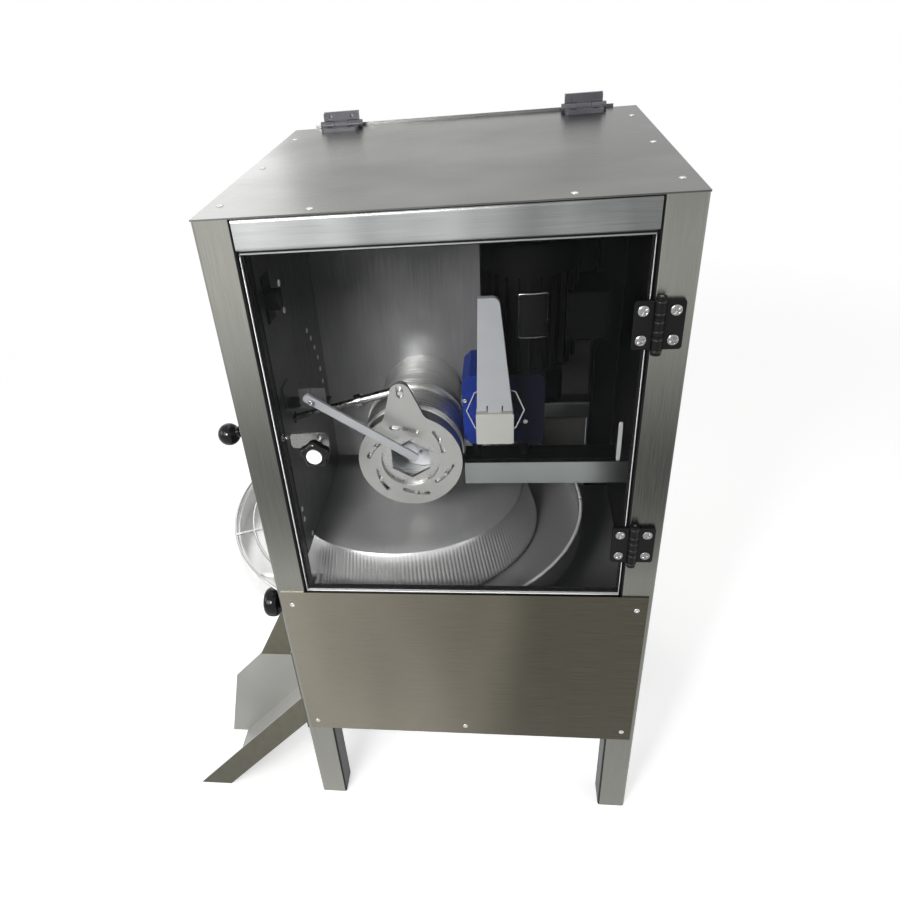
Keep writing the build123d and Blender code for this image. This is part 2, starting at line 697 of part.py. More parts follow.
def hatch_handle():
    rear = HATCH_Y + SHEET
    reach = HANDLE_REACH - HANDLE_BAR
    half = HANDLE_SPAN / 2
    route = FilletPolyline((-half, rear, HANDLE_Z), (-half, rear + reach, HANDLE_Z),
                           (half, rear + reach, HANDLE_Z), (half, rear, HANDLE_Z), radius=2 * HANDLE_BAR)
    return sweep(Plane(origin=(-half, rear, HANDLE_Z), z_dir=(0, 1, 0)) * Circle(HANDLE_BAR), route)


# Divider head: fixed body, leaves that slide in it, ring that drives them

def leaf_turn(n):
    return 360.0 / LEAVES * n


def leaf_direction(n):
    """The way a leaf slides to open: towards its corner of the opening."""
    return leaf_turn(n) + 180.0 / LEAVES


def on_head(sketch, y, thick):
    """A plate of the head, drawn about the head's axis."""
    return facing(at(HEAD_X, HEAD_Z, sketch), y, thick)


def leaf_outline():
    """A wedge between its own side of the opening and its neighbour's side."""
    step = math.radians(360.0 / LEAVES)
    near = APERTURE - GAP
    tip = Vector(APERTURE, (near - APERTURE * math.cos(step)) / math.sin(step))
    low = Vector(APERTURE, -math.sqrt(LEAF_OUTER ** 2 - APERTURE ** 2))
    along = -math.sqrt(LEAF_OUTER ** 2 - near ** 2)
    high = Vector(near, along).rotate(Axis.Z, math.degrees(step))
    middle = (low + high).normalized() * LEAF_OUTER
    edges = Line(tip, low) + ThreePointArc(low, middle, high) + Line(high, tip)
    return make_face(edges)


def key_sketch(length, width):
    place = polar(LEAF_PIN_AT, LEAF_PIN_ANGLE)
    return at(place.X, place.Y, Rot(0, 0, leaf_direction(0)) * Rectangle(length, width))


def iris_leaf(n):
    pin_place = polar(LEAF_PIN_AT, LEAF_PIN_ANGLE)
    turn = Rot(0, 0, leaf_turn(n))
    leaf = on_head(turn * leaf_outline(), LEAF_Y, LEAF_PLATE)
    pin = at(pin_place.X, pin_place.Y, Circle(LEAF_PIN_RADIUS))
    leaf += on_head(turn * pin, HEAD_FACE_Y + GAP, LEAF_Y - HEAD_FACE_Y)
    key = turn * key_sketch(KEY_LENGTH, KEY_WIDTH)
    return leaf + on_head(key, LEAF_Y + LEAF_PLATE - GAP, KEY_DEPTH + GAP)


def cam_slot():
    """The leaf pin's path seen from the turning ring, as an arc with room for the pin."""
    pin_place = polar(LEAF_PIN_AT, LEAF_PIN_ANGLE)
    reach = 1.05 * RING_SWING
    path = []
    for swing in (-reach, 0, reach):
        slide = polar(-LEAF_RATE * math.radians(swing), leaf_direction(0))
        path.append((pin_place + slide).rotate(Axis.Z, -swing))
    return SlotArc(ThreePointArc(*path), 2 * (LEAF_PIN_RADIUS + SLOT_CLEAR))


def cam_ring():
    eye = Vector(EYE_DX, EYE_DZ)
    ear = at(eye.X, eye.Y, Circle(EAR_RADIUS))
    plate = Circle(RING_RADIUS) + make_hull((Circle(EAR_ROOT) + ear).edges())
    above = plate.vertices().filter_by(lambda v: v.Y > EAR_RADIUS)
    roots = above.filter_by(lambda v: abs(math.hypot(v.X, v.Y) - RING_RADIUS) < GAP)
    plate = fillet(roots, EAR_BLEND)
    plate -= Circle(RING_WINDOW)
    for n in range(LEAVES):
        plate -= Rot(0, 0, leaf_turn(n)) * cam_slot()
    out = eye.normalized()
    middle = eye + out * (EYE_SLOT_OUT - EYE_SLOT_IN) / 2
    bearing = math.degrees(math.atan2(out.Y, out.X))
    slot = SlotCenterToCenter(EYE_SLOT_OUT + EYE_SLOT_IN, EYE_SLOT_WIDTH)
    plate -= at(middle.X, middle.Y, Rot(0, 0, bearing) * slot)
    skirt = Circle(RING_RADIUS) - Circle(BODY_RADIUS + RUN)
    return on_head(plate, HEAD_FACE_Y, RING_PLATE) + on_head(skirt, HEAD_FACE_Y + RING_PLATE, RING_SKIRT)


def nozzle_body():
    back = BODY_Y + BODY_DEPTH
    mouth = back - (BARREL_BORE - NOZZLE_BORE)
    body = turned_deep([(NOZZLE_BORE, BODY_Y), (BODY_RADIUS, BODY_Y), (BODY_RADIUS, back),
                        (BARREL_BORE, back), (NOZZLE_BORE, mouth)], HEAD_X, HEAD_Z)
    groove = key_sketch(KEY_LENGTH + 2 * (LEAF_TRAVEL + GAP), KEY_WIDTH + 2 * GAP)
    for n in range(LEAVES):
        body -= on_head(Rot(0, 0, leaf_turn(n)) * groove, BODY_Y, KEY_DEPTH)
    return body


def auger_barrel():
    """Turned housing: drum behind the ring, groove, band and a bell up to the partition."""
    front = BARREL_FRONT_Y
    drum = front + FLANGE_THICK
    groove = drum + DRUM_LENGTH
    band = groove + GROOVE_LENGTH
    bell = band + BAND_LENGTH
    rear = AUGER_CASE_Y
    barrel = turned_deep([(BARREL_BORE, front), (BODY_RADIUS, front), (BODY_RADIUS, drum),
                          (DRUM_RADIUS, drum), (DRUM_RADIUS, groove), (GROOVE_RADIUS, groove),
                          (GROOVE_RADIUS, band), (BAND_RADIUS, band), (BAND_RADIUS, bell),
                          (BELL_RADIUS, bell), (BELL_END_RADIUS, bell + BELL_LENGTH),
                          (BELL_END_RADIUS, PARTITION_Y), (BARREL_OUTER, PARTITION_Y),
                          (BARREL_OUTER, rear), (AUGER_SHAFT + RUN, rear),
                          (AUGER_SHAFT + RUN, rear - FLANGE_THICK), (BARREL_BORE, rear - FLANGE_THICK)],
                         HEAD_X, HEAD_Z)
    half = THROAT_WIDTH / 2
    throat = block((HEAD_X - half, HEAD_X + half), THROAT_Y, (HEAD_Z, HEAD_Z + 2 * BARREL_OUTER))
    return barrel - throat


def auger():
    end = AUGER_CASE_MID + CASE_HALF_DEPTH / 2
    shaft = bar((HEAD_X, AUGER_START_Y, HEAD_Z), (0, 1, 0), AUGER_SHAFT, end - AUGER_START_Y)
    length = AUGER_CASE_Y - FLANGE_THICK - AUGER_CLEAR - AUGER_START_Y
    start = (HEAD_X, AUGER_START_Y, HEAD_Z)
    across = Plane(origin=start, x_dir=(1, 0, 0), z_dir=(0, 1, 0))
    blade = across * Rectangle(2 * (BARREL_BORE - AUGER_CLEAR), AUGER_BLADE)
    turns = 360 * length / AUGER_LEAD
    run = Vector(0, length, 0)
    return shaft + Solid.extrude_linear_with_rotation(blade.face(), center=start, normal=run, angle=turns)


# Adjusting rod: eye with a pin in the ring's ear, sleeve, collar, ball knob outside

EYE = Vector(EYE_X, ROD_Y, EYE_Z)


def along_rod(distance):
    """A point on the rod, so far from the eye towards the ball."""
    return EYE - ROD_DIR * distance


def adjust_rod():
    eye_front = ROD_Y - EYE_THICK / 2
    eye = bar((EYE_X, eye_front, EYE_Z), (0, 1, 0), EYE_RADIUS, EYE_THICK)
    pin_start = HEAD_FACE_Y + GAP
    pin = bar((EYE_X, pin_start, EYE_Z), (0, 1, 0), EYE_PIN_RADIUS, ROD_Y - pin_start)
    rod = bar(EYE, -ROD_DIR, ROD_RADIUS, ROD_LENGTH - BALL_RADIUS / 3)
    sleeve = bar(EYE, -ROD_DIR, SLEEVE_RADIUS, SLEEVE_LENGTH)
    collar = bar(along_rod(SLEEVE_LENGTH), -ROD_DIR, COLLAR_RADIUS, COLLAR_LENGTH)
    return eye + pin + rod + sleeve + collar


def ball_knob():
    """A ball turned about the rod's line, with a short neck and a blind bore for the rod's end."""
    bore = ROD_RADIUS + RUN
    neck = -1.1 * BALL_RADIUS
    seat = -math.sqrt(BALL_RADIUS ** 2 - BALL_NECK ** 2)
    blind = -BALL_RADIUS / 3 + GAP
    straight = Polyline((0, BALL_RADIUS), (0, blind), (bore, blind), (bore, neck), (BALL_NECK, neck),
                        (BALL_NECK, seat))
    ball = make_face(straight + ThreePointArc((BALL_NECK, seat), (BALL_RADIUS, 0), (0, BALL_RADIUS)))
    place = Plane(origin=along_rod(ROD_LENGTH), z_dir=-ROD_DIR)
    return place * revolve(Plane.XZ * ball, Axis.Z)


def rod_bush():
    middle = rod_point(-HALF)
    start = middle + ROD_DIR * (BUSH_LENGTH / 2)
    plate = block((-HALF - SHEET, -HALF), (ROD_Y - BUSH_PLATE / 2, ROD_Y + BUSH_PLATE / 2),
                  (middle.Z - BUSH_PLATE / 2, middle.Z + BUSH_PLATE / 2))
    bush = plate + bar(start, -ROD_DIR, BUSH_RADIUS, BUSH_LENGTH)
    return bush - bar(start + ROD_DIR * PAST, -ROD_DIR, ROD_RADIUS + RUN, BUSH_LENGTH + 2 * PAST)


# Gear units in their own frame: output along z, worm along y at +x, motor on +y

def gear_case():
    half_length = (-CASE_HALF_LENGTH, CASE_HALF_LENGTH)
    case = block((-CASE_BACK, CASE_FRONT), half_length, (-CASE_HALF_DEPTH, CASE_HALF_DEPTH))
    case = chamfer(case.edges().filter_by(Axis.Z).group_by(Axis.X)[0], CASE_CHAMFER)
    case = chamfer(case.edges().filter_by(Axis.Z).group_by(Axis.X)[-1], CASE_CORNER)
    recess = RegularPolygon(CASE_RIM, 8) - Circle(CASE_BOSS)
    for face in (-CASE_HALF_DEPTH, CASE_HALF_DEPTH - SHEET):
        case -= Pos(0, 0, face) * extrude(recess, SHEET)
    flange = Rot(-90, 0, 0) * Cylinder(WORM_OFFSET, MOTOR_FLANGE)
    case += Pos(WORM_OFFSET, CASE_HALF_LENGTH + MOTOR_FLANGE / 2, 0) * flange
    return case - Cylinder(AUGER_SHAFT + RUN, 4 * CASE_HALF_DEPTH)


def gear_motor(radius, length, box_turn):
    """A finned motor on the worm's flange, with its fan cowl and terminal box."""
    start = CASE_HALF_LENGTH + MOTOR_FLANGE
    core = 0.88 * radius
    cowl = 0.24 * length
    fins = length - cowl - MOTOR_FLANGE
    motor = Pos(0, 0, MOTOR_FLANGE / 2) * Cylinder(0.9 * radius, MOTOR_FLANGE)
    motor += Pos(0, 0, length / 2) * Cylinder(core, length)
    for n in range(MOTOR_FINS):
        fin = Box(2 * radius, TUBE_WALL, fins)
        motor += Rot(0, 0, n * 180 / MOTOR_FINS) * Pos(0, 0, MOTOR_FLANGE + fins / 2) * fin
    cap = Pos(0, 0, length - cowl / 2) * Cylinder(radius, cowl)
    motor += fillet(cap.edges().sort_by(Axis.Z)[-1], radius / 8)
    reach, wide, tall = TERMINAL_BOX
    box = Pos(core + reach / 2, 0, MOTOR_FLANGE + fins / 2) * Box(reach + radius / 4, wide, tall)
    motor += Rot(0, 0, box_turn) * fillet(box.edges().filter_by(Axis.X), TUBE_WALL * 2)
    return Pos(WORM_OFFSET, start, 0) * Rot(-90, 0, 0) * motor


KNIFE_DRIVE = Plane(origin=(KNIFE_X, KNIFE_CASE_MID, KNIFE_Z), x_dir=(1, 0, 0), z_dir=(0, -1, 0))
AUGER_DRIVE = Plane(origin=(HEAD_X, AUGER_CASE_MID, HEAD_Z), x_dir=(0, 0, -1), z_dir=(0, -1, 0))
ROUNDER_DRIVE = Plane(origin=(CONE_X, CONE_Y, ROUNDER_CASE_MID), x_dir=(0, 1, 0), z_dir=(0, 0, -1))


def knife_gearbox():
    return KNIFE_DRIVE * gear_case()


def knife_motor():
    return KNIFE_DRIVE * gear_motor(KNIFE_MOTOR_RADIUS, KNIFE_MOTOR_LENGTH, 0)


def auger_drive():
    motor = gear_motor(DRIVE_MOTOR_RADIUS, DRIVE_MOTOR_LENGTH, 180)
    return [AUGER_DRIVE * gear_case(), AUGER_DRIVE * motor]


def rounder_drive():
    motor = gear_motor(DRIVE_MOTOR_RADIUS, DRIVE_MOTOR_LENGTH, 0)
    return [ROUNDER_DRIVE * gear_case(), ROUNDER_DRIVE * motor]


# Knife

def knife_hub():
    half = HUB_WIDTH / 2
    top = KNIFE_Z + HUB_HEIGHT / 2
    front = KNIFE_Y - (HUB_DEPTH - KNIFE_THICK) / 2
    section = RectangleRounded(HUB_WIDTH, HUB_HEIGHT, TUBE_WALL)
    hub = facing(at(KNIFE_X, KNIFE_Z, section), front, HUB_DEPTH)
    slot_x = (KNIFE_X - TONGUE_SLOT / 2 - GAP, KNIFE_X + TONGUE_SLOT / 2 + GAP)
    slot_y = (KNIFE_Y - GAP, KNIFE_Y + KNIFE_THICK + GAP)
    hub -= block(slot_x, slot_y, (top - TONGUE_DEEP - GAP, top + half))
    return hub + bar((KNIFE_X, front + HUB_DEPTH, KNIFE_Z), (0, 1, 0), AUGER_SHAFT,
                     KNIFE_CASE_MID + CASE_HALF_DEPTH / 2 - front - HUB_DEPTH)


def knife_arm():
    """A blade with one straight edge and one slanted, on a tongue between two short slits."""
    root = KNIFE_Z + HUB_HEIGHT / 2 + SHEET
    top = KNIFE_Z + KNIFE_REACH
    left = KNIFE_X - KNIFE_ROOT / 2
    lean = left + KNIFE_LEAN
    blade = outline((left, root), (left + KNIFE_ROOT, root), (lean + KNIFE_TIP, top), (lean, top))
    blade = fillet(blade.vertices().group_by(Axis.Y)[-1].sort_by(Axis.X)[-1], KNIFE_CORNER)
    half = TONGUE_SLOT / 2
    blade += area((KNIFE_X - half, KNIFE_X + half), (root - SHEET - TONGUE_DEEP, root + SHEET))
    for x in (KNIFE_X - half - KNIFE_SLIT, KNIFE_X + half):
        blade -= area((x, x + KNIFE_SLIT), (root - SHEET, root + KNIFE_SLIT_DEEP))
    return facing(blade, KNIFE_Y, KNIFE_THICK)


def gearbox_rail():
    """Cross tube from the right side, with a return to the partition."""
    y = (CROSS_RAIL_Y, CROSS_RAIL_Y + RAIL)
    z = (CROSS_RAIL_Z, CROSS_RAIL_Z + RAIL)
    rail = block((CROSS_RAIL_LEFT, HALF - SHEET), y, z)
    rail += block((CROSS_RAIL_LEFT, CROSS_RAIL_LEFT + RAIL), (y[1], PARTITION_Y), z)
    inner_y = (y[0] + TUBE_WALL, y[1] - TUBE_WALL)
    inner_z = (z[0] + TUBE_WALL, z[1] - TUBE_WALL)
    return rail - block((CROSS_RAIL_LEFT + TUBE_WALL, HALF), inner_y, inner_z)


def gearbox_stand():
    """A bar on the cross tube and two round spacers that carry the knife's gearbox."""
    middle = CROSS_RAIL_Y + RAIL / 2
    low = CROSS_RAIL_Z + RAIL
    stand = block((CROSS_RAIL_LEFT, INNER), (CROSS_RAIL_Y, CROSS_RAIL_Y + RAIL), (low, low + STAND_BAR))
    for x in (KNIFE_X - CASE_BACK + CASE_CHAMFER + STAND_STUD, KNIFE_X + CASE_FRONT - STAND_STUD_INSET):
        stand += bar((x, middle, low), (0, 0, 1), STAND_STUD, STAND_HEIGHT)
    return stand


# Hopper

def funnel(offset):
    """The hopper's funnel, grown outwards by an offset."""
    front = PARTITION_Y + 2 * SHEET
    half = THROAT_WIDTH / 2 + offset
    mouth = area((HOPPER_X[0] - offset, HOPPER_X[1] + offset), (front - offset, HOPPER_BACK_Y + offset))
    throat = area((HEAD_X - half, HEAD_X + half), (THROAT_Y[0] - offset, THROAT_Y[1] + offset))
    cone = loft([Plane.XY.offset(NECK_TOP) * throat, Plane.XY.offset(HOPPER_TOP) * mouth], ruled=True)
    return cone + extrude(Plane.XY.offset(HEAD_Z) * throat, NECK_TOP - HEAD_Z)


def hopper():
    shell = funnel(SHEET) - funnel(0)
    saddle = bar((HEAD_X, PARTITION_Y, HEAD_Z), (0, 1, 0), BARREL_OUTER + RUN, DEPTH)
    shell -= saddle
    aside = 2 * POST
    below = (HEAD_Z - POST, HEAD_Z + RAIL)
    return shell - block((HEAD_X - aside, HEAD_X + aside), (PARTITION_Y, DEPTH), below)


# Stripper bar

def stripper_bar():
    top, end = Vector(*STRIP_TOP), Vector(*STRIP_END)
    run = end - top
    bearing = math.degrees(math.atan2(run.Y, run.X))
    middle = (top + end) / 2
    strip = Rot(0, 0, bearing) * SlotOverall(run.length + STRIP_WIDTH, STRIP_WIDTH)
    return facing(at(middle.X, middle.Y, strip), STRIP_Y, STRIP_THICK)


def stripper_bracket():
    front = STRIP_Y + STRIP_THICK
    right = STRIP_PLATE_RIGHT
    plate = block((-INNER, right), (front, STRIP_PLATE_BACK), (STRIP_PLATE_Z, STRIP_PLATE_Z + SHEET))
    rise = (STRIP_PLATE_Z, STRIP_LUG_TOP)
    lug = block((STRIP_TOP[0] - STRIP_WIDTH, right), (front, front + SHEET), rise)
    foot = block((-INNER, -INNER + SHEET), (front, STRIP_PLATE_BACK), rise)
    middle = ((-INNER + right) / 2, (front + STRIP_PLATE_BACK) / 2)
    slot = at(*middle, SlotOverall(STRIP_SLOT, STRIP_SLOT_WIDTH))
    plate -= extrude(Plane.XY.offset(STRIP_PLATE_Z) * slot, SHEET)
    return plate + lug + foot


# Rounder

def rounding_cone():
    def star(radius):
        points = []
        for n in range(FLUTES):
            points.append(polar(radius, n * 360 / FLUTES))
            points.append(polar(radius - FLUTE_DEPTH, (n + 0.5) * 360 / FLUTES))
        return outline(*points)

    skirt = Plane.XY.offset(SKIRT_Z) * star(SKIRT_RADIUS)
    ridge = Plane.XY.offset(RIDGE_Z) * star(RIDGE_RADIUS)
    flank = Pos(CONE_X, CONE_Y, 0) * loft([skirt, ridge], ruled=True)
    crown = turned([(0, RIDGE_Z), (RIDGE_RADIUS, RIDGE_Z), (CONE_TOP_RADIUS, CONE_TOP), (0, CONE_TOP)],
                   CONE_X, CONE_Y)
    roof = RIDGE_Z - CONE_WALL
    hollow = turned([(CONE_HUB, SKIRT_Z - PAST), (SKIRT_RADIUS - CONE_WALL - FLUTE_DEPTH, SKIRT_Z - PAST),
                     (RIDGE_RADIUS - CONE_WALL - FLUTE_DEPTH, roof), (CONE_HUB, roof)], CONE_X, CONE_Y)
    bottom = ROUNDER_CASE_MID - CASE_HALF_DEPTH / 2
    shaft = bar((CONE_X, CONE_Y, bottom), (0, 0, 1), CONE_SHAFT, RIDGE_Z - bottom)
    return flank + crown - hollow + shaft


def bowl_plan(inset):
    """The bowl seen from above: a round cut straight at the front and rear and between the left posts."""
    right = CONE_X + BOWL_RADIUS
    front = BOWL_FRONT_Y + inset
    side = BOWL_SIDE_Y + inset
    wide = area((BOWL_POST_X + inset, right), (front, DEPTH - front))
    waist = area((CONE_X - BOWL_RADIUS, right), (side, DEPTH - side))
    return at(CONE_X, CONE_Y, Circle(BOWL_RADIUS - inset)) & (wide + waist)


def rounder_bowl():
    """A flat bowl that passes out through the left side, with a rim and an outlet hole over the chute."""
    bowl = extrude(Plane.XY.offset(BOWL_UNDER) * bowl_plan(0), BOWL_RIM - BOWL_UNDER)
    bowl -= extrude(Plane.XY.offset(BOWL_FLOOR) * bowl_plan(BOWL_WALL), BOWL_RIM - BOWL_FLOOR)
    rim = bowl_plan(0) - bowl_plan(BOWL_WALL + BEAD)
    bowl += extrude(Plane.XY.offset(BOWL_RIM - BEAD) * rim, BEAD)
    bowl += bar((CONE_X, CONE_Y, BOWL_UNDER - BOWL_BOSS_DROP), (0, 0, 1), BOWL_BOSS, BOWL_BOSS_DROP)
    bowl -= bar((CONE_X, CONE_Y, SHELF_Z), (0, 0, 1), CONE_SHAFT + RUN, BOWL_RIM - SHELF_Z)
    return bowl - block(OUTLET_X, OUTLET_Y, (BOWL_UNDER - PAST, BOWL_FLOOR + PAST))


def drive_shelf():
    x = HALF - SHEET - TUBE_WALL
    shelf = block((-x, x), (POST + SHELF_CLEAR, DEPTH - POST - SHELF_CLEAR), (SHELF_Z, SHELF_Z + SHELF))
    case_x = (CONE_X - CASE_HALF_LENGTH, CONE_X + CASE_HALF_LENGTH)
    case_y = (CONE_Y - CASE_BACK, CONE_Y + CASE_FRONT)
    drop = (SHELF_Z - RISER, SHELF_Z)
    inner_x = (case_x[0] + RISER_WALL, case_x[1] - RISER_WALL)
    inner_y = (case_y[0] + RISER_WALL, case_y[1] - RISER_WALL)
    shelf += block(case_x, case_y, drop) - block(inner_x, inner_y, drop)
    shelf -= bar((CONE_X, CONE_Y, SHELF_Z - PAST), (0, 0, 1), BOWL_BOSS, SHELF + 2 * PAST)
    top = SHELF_Z + SHELF
    for n in range(PILLARS):
        place = polar(PILLAR_AT, 30 + n * 360 / PILLARS)
        shelf += bar((CONE_X + place.X, CONE_Y + place.Y, top), (0, 0, 1), PILLAR_RADIUS, BOWL_UNDER - top)
    return shelf


# Outlet on the left side

def chute_line(x):
    """Height of the chute's floor at a given x."""
    return CHUTE_FOOT_Z + CHUTE_SLOPE * (x - CHUTE_FOOT_X)


def outlet_chute():
    wall = -HALF
    front, back = CHUTE_Y
    floor_top = chute_line(wall)
    skin = SHEET * math.sqrt(1 + CHUTE_SLOPE ** 2)
    foot = CHUTE_FOOT_Z
    floor = outline((CHUTE_FOOT_X, foot), (CHUTE_FOOT_X + skin / CHUTE_SLOPE, foot),
                    (wall, floor_top - skin), (wall, floor_top))
    chute = facing(floor, front, back - front)
    lip = outline((CHUTE_END_X, foot), (CHUTE_FOOT_X, foot), (wall, floor_top), (wall, floor_top + CHUTE_LIP))
    chute += facing(lip, front, SHEET)
    cheek = outline((wall - CHUTE_TOE_REACH, foot), (CHUTE_FOOT_X, foot), (wall, floor_top),
                    (wall, CHUTE_BACK_TOP), (wall - CHUTE_KNEE_REACH, CHUTE_KNEE_Z),
                    (wall - CHUTE_CORNER_REACH, CHUTE_CORNER_Z))
    chute += facing(cheek, back - SHEET, SHEET)
    low = floor_top - RAIL / 2
    return chute + block((wall - SHEET, wall), (front, back), (low, low + CHUTE_FLANGE))


def outlet_guard():
    """Hoops over the bowl's outer part, up to the side wall, with spokes and a tab on each left post."""
    wall = -HALF
    apart = CONE_X - wall
    guard = None
    for n in range(GUARD_HOOPS):
        radius = GUARD_INNER + n * GUARD_STEP
        section = Plane.XZ * at(-radius, GUARD_Z, RegularPolygon(GUARD_WIRE, 6))
        half = math.degrees(math.acos(apart / radius))
        hoop = revolve(Rot(0, 0, -half) * section, Axis.Z, revolution_arc=2 * half)
        guard = hoop if guard is None else guard + hoop
    for degrees in GUARD_SPOKES:
        start = polar(GUARD_INNER, degrees)
        plane = Plane(origin=(start.X, start.Y, GUARD_Z), z_dir=start)
        guard += extrude(plane * RegularPolygon(GUARD_WIRE, 6), GUARD_RADIUS - GUARD_INNER)
    guard = Pos(CONE_X, CONE_Y, 0) * guard
    guard -= block((wall, 0), (-DEPTH, 2 * DEPTH), (0, HEIGHT))
    reach = math.sqrt(GUARD_RADIUS ** 2 - apart ** 2)
    half = GUARD_STRIP / 2
    for end, post in ((CONE_Y - reach, POST / 2), (CONE_Y + reach, DEPTH - POST / 2)):
        span = (min(end, post) - half, max(end, post) + half)
        guard += block((wall - SHEET, wall), span, (GUARD_Z - half, GUARD_Z + half))
    return guard


def hand_knob():
    x = -HALF - HAND_KNOB_STAND
    y = POST / 2
    knob = bar((x - HAND_KNOB_THICK, y, HAND_KNOB_Z), (1, 0, 0), HAND_KNOB_RADIUS, HAND_KNOB_THICK)
    knob = fillet(knob.edges().filter_by(GeomType.CIRCLE), HAND_KNOB_THICK * 0.4)
    return knob + bar((x, y, HAND_KNOB_Z), (1, 0, 0), HAND_KNOB_STUD * 2, HAND_KNOB_STAND - GAP)


# Controls on the right side

CONTROL_MID = (CONTROL_Y[0] + CONTROL_Y[1]) / 2
BUTTON_Y = (CONTROL_Y[0] + BUTTON_INSET, CONTROL_Y[1] - BUTTON_INSET)
BUTTON_Z = CONTROL_Z[0] + BUTTON_RISE
DIAL_Z = CONTROL_Z[1] - DIAL_DROP
CONTROL_FACE = HALF + CONTROL_DEPTH


def control_box():
    box = block((HALF, CONTROL_FACE), CONTROL_Y, CONTROL_Z)
    box = fillet(box.edges().filter_by(Axis.X), TUBE_WALL * 2)
    box -= block((HALF, CONTROL_FACE - SHEET), (CONTROL_Y[0] + SHEET, CONTROL_Y[1] - SHEET),
                 (CONTROL_Z[0] + SHEET, CONTROL_Z[1] - SHEET))
    for y in BUTTON_Y:
        box += bar((CONTROL_FACE - SHEET, y, BUTTON_Z), (1, 0, 0), BEZEL_RADIUS, SHEET + BEZEL_STAND)
        box -= bar((HALF, y, BUTTON_Z), (1, 0, 0), BUTTON_RADIUS + GAP, 2 * CONTROL_DEPTH)
    return box - bar((HALF, CONTROL_MID, DIAL_Z), (1, 0, 0), SPINDLE_RADIUS + RUN, 2 * CONTROL_DEPTH)


def push_button(y):
    """A button with a shoulder behind the face that keeps it in."""
    inner = CONTROL_FACE - SHEET
    button = bar((inner - GAP, y, BUTTON_Z), (1, 0, 0), BUTTON_RADIUS, GAP + SHEET + BUTTON_STAND)
    return button + bar((inner - GAP - SHEET, y, BUTTON_Z), (1, 0, 0), BEZEL_RADIUS, SHEET)


def start_button():
    return push_button(BUTTON_Y[0])


def stop_button():
    return push_button(BUTTON_Y[1])


def speed_dial():
    dial = bar((CONTROL_FACE + GAP, CONTROL_MID, DIAL_Z), (1, 0, 0), DIAL_RADIUS, DIAL_STAND - GAP)
    dial = chamfer(dial.edges().sort_by(Axis.X)[-1], DIAL_STAND / 5)
    mark = block((CONTROL_FACE + DIAL_STAND - SHEET / 2, CONTROL_FACE + DIAL_STAND),
                 (CONTROL_MID - SHEET / 2, CONTROL_MID + SHEET / 2), (DIAL_Z, DIAL_Z + DIAL_RADIUS))
    spindle = bar((CONTROL_FACE - 2 * SHEET, CONTROL_MID, DIAL_Z), (1, 0, 0), SPINDLE_RADIUS, 3 * SHEET)
    return dial - mark + spindle


def cable_gland():
    thread = GLAND_RADIUS / 2
    inner = BACK - 3 * SHEET
    dome = turned_deep([(GLAND_BORE, inner), (thread, inner), (thread, DEPTH), (GLAND_RADIUS, DEPTH),
                        (GLAND_RADIUS, DEPTH + GLAND_REACH / 2), (0.8 * GLAND_RADIUS, DEPTH + GLAND_REACH),
                        (GLAND_BORE, DEPTH + GLAND_REACH)], GLAND_X, GLAND_Z)
    return dome


NODES = {
    "corner_posts": corner_posts, "leg_plugs": leg_plugs, "frame_rails": frame_rails, "top_sheet": top_sheet,
    "front_panel": front_panel, "left_side_panel": left_side_panel, "right_side_panel": right_side_panel,
    "back_panel": back_panel, "base_sheet": base_sheet, "left_liner": left_liner, "partition": partition,
    "door_pane": door_pane, "door_seal": door_seal, "door_hinge_fixed": door_hinge_fixed,
    "door_hinge_moving": door_hinge_moving, "hinge_pins": hinge_pins, "star_knob": star_knob,
    "star_knob_cap": star_knob_cap, "latch_tongue": latch_tongue, "strike_bolt": strike_bolt,
    "door_switch": door_switch, "hatch_panel": hatch_panel, "hatch_handle": hatch_handle,
    "hatch_hinge_fixed": hatch_hinge_fixed, "hatch_hinge_moving": hatch_hinge_moving,
    "cam_ring": cam_ring, "nozzle_body": nozzle_body, "auger_barrel": auger_barrel, "auger": auger,
    "adjust_rod": adjust_rod, "ball_knob": ball_knob, "rod_bush": rod_bush, "knife_hub": knife_hub,
    "knife_arm": knife_arm, "knife_gearbox": knife_gearbox, "knife_motor": knife_motor,
    "gearbox_rail": gearbox_rail, "gearbox_stand": gearbox_stand, "auger_drive": auger_drive,
    "hopper": hopper,
    "stripper_bar": stripper_bar, "stripper_bracket": stripper_bracket, "rounding_cone": rounding_cone,
    "rounder_bowl": rounder_bowl, "drive_shelf": drive_shelf, "rounder_drive": rounder_drive,
    "outlet_chute": outlet_chute, "outlet_guard": outlet_guard, "hand_knob": hand_knob,
    "control_box": control_box, "start_button": start_button, "stop_button": stop_button,
    "speed_dial": speed_dial, "cable_gland": cable_gland,
}


def build():
    """Every node by name, each a list of solids in the row's frame."""
    made = {}
    shift = Pos(-ROW_ORIGIN.X, -ROW_ORIGIN.Y, 0)
    for name, make in NODES.items():
        shape = make()
        pieces = shape if isinstance(shape, list) else [shape]
        made[name] = [shift * solid for piece in pieces for solid in piece.solids()]
    for n in range(LEAVES):
        made[f"iris_leaf_{n + 1}"] = [shift * solid for solid in iris_leaf(n).solids()]
    return made


os.makedirs("parts", exist_ok=True)
for name, solids in build().items():
    whole = solids[0] if len(solids) == 1 else Compound(children=solids)
    export_step(whole, f"parts/{name}.step")
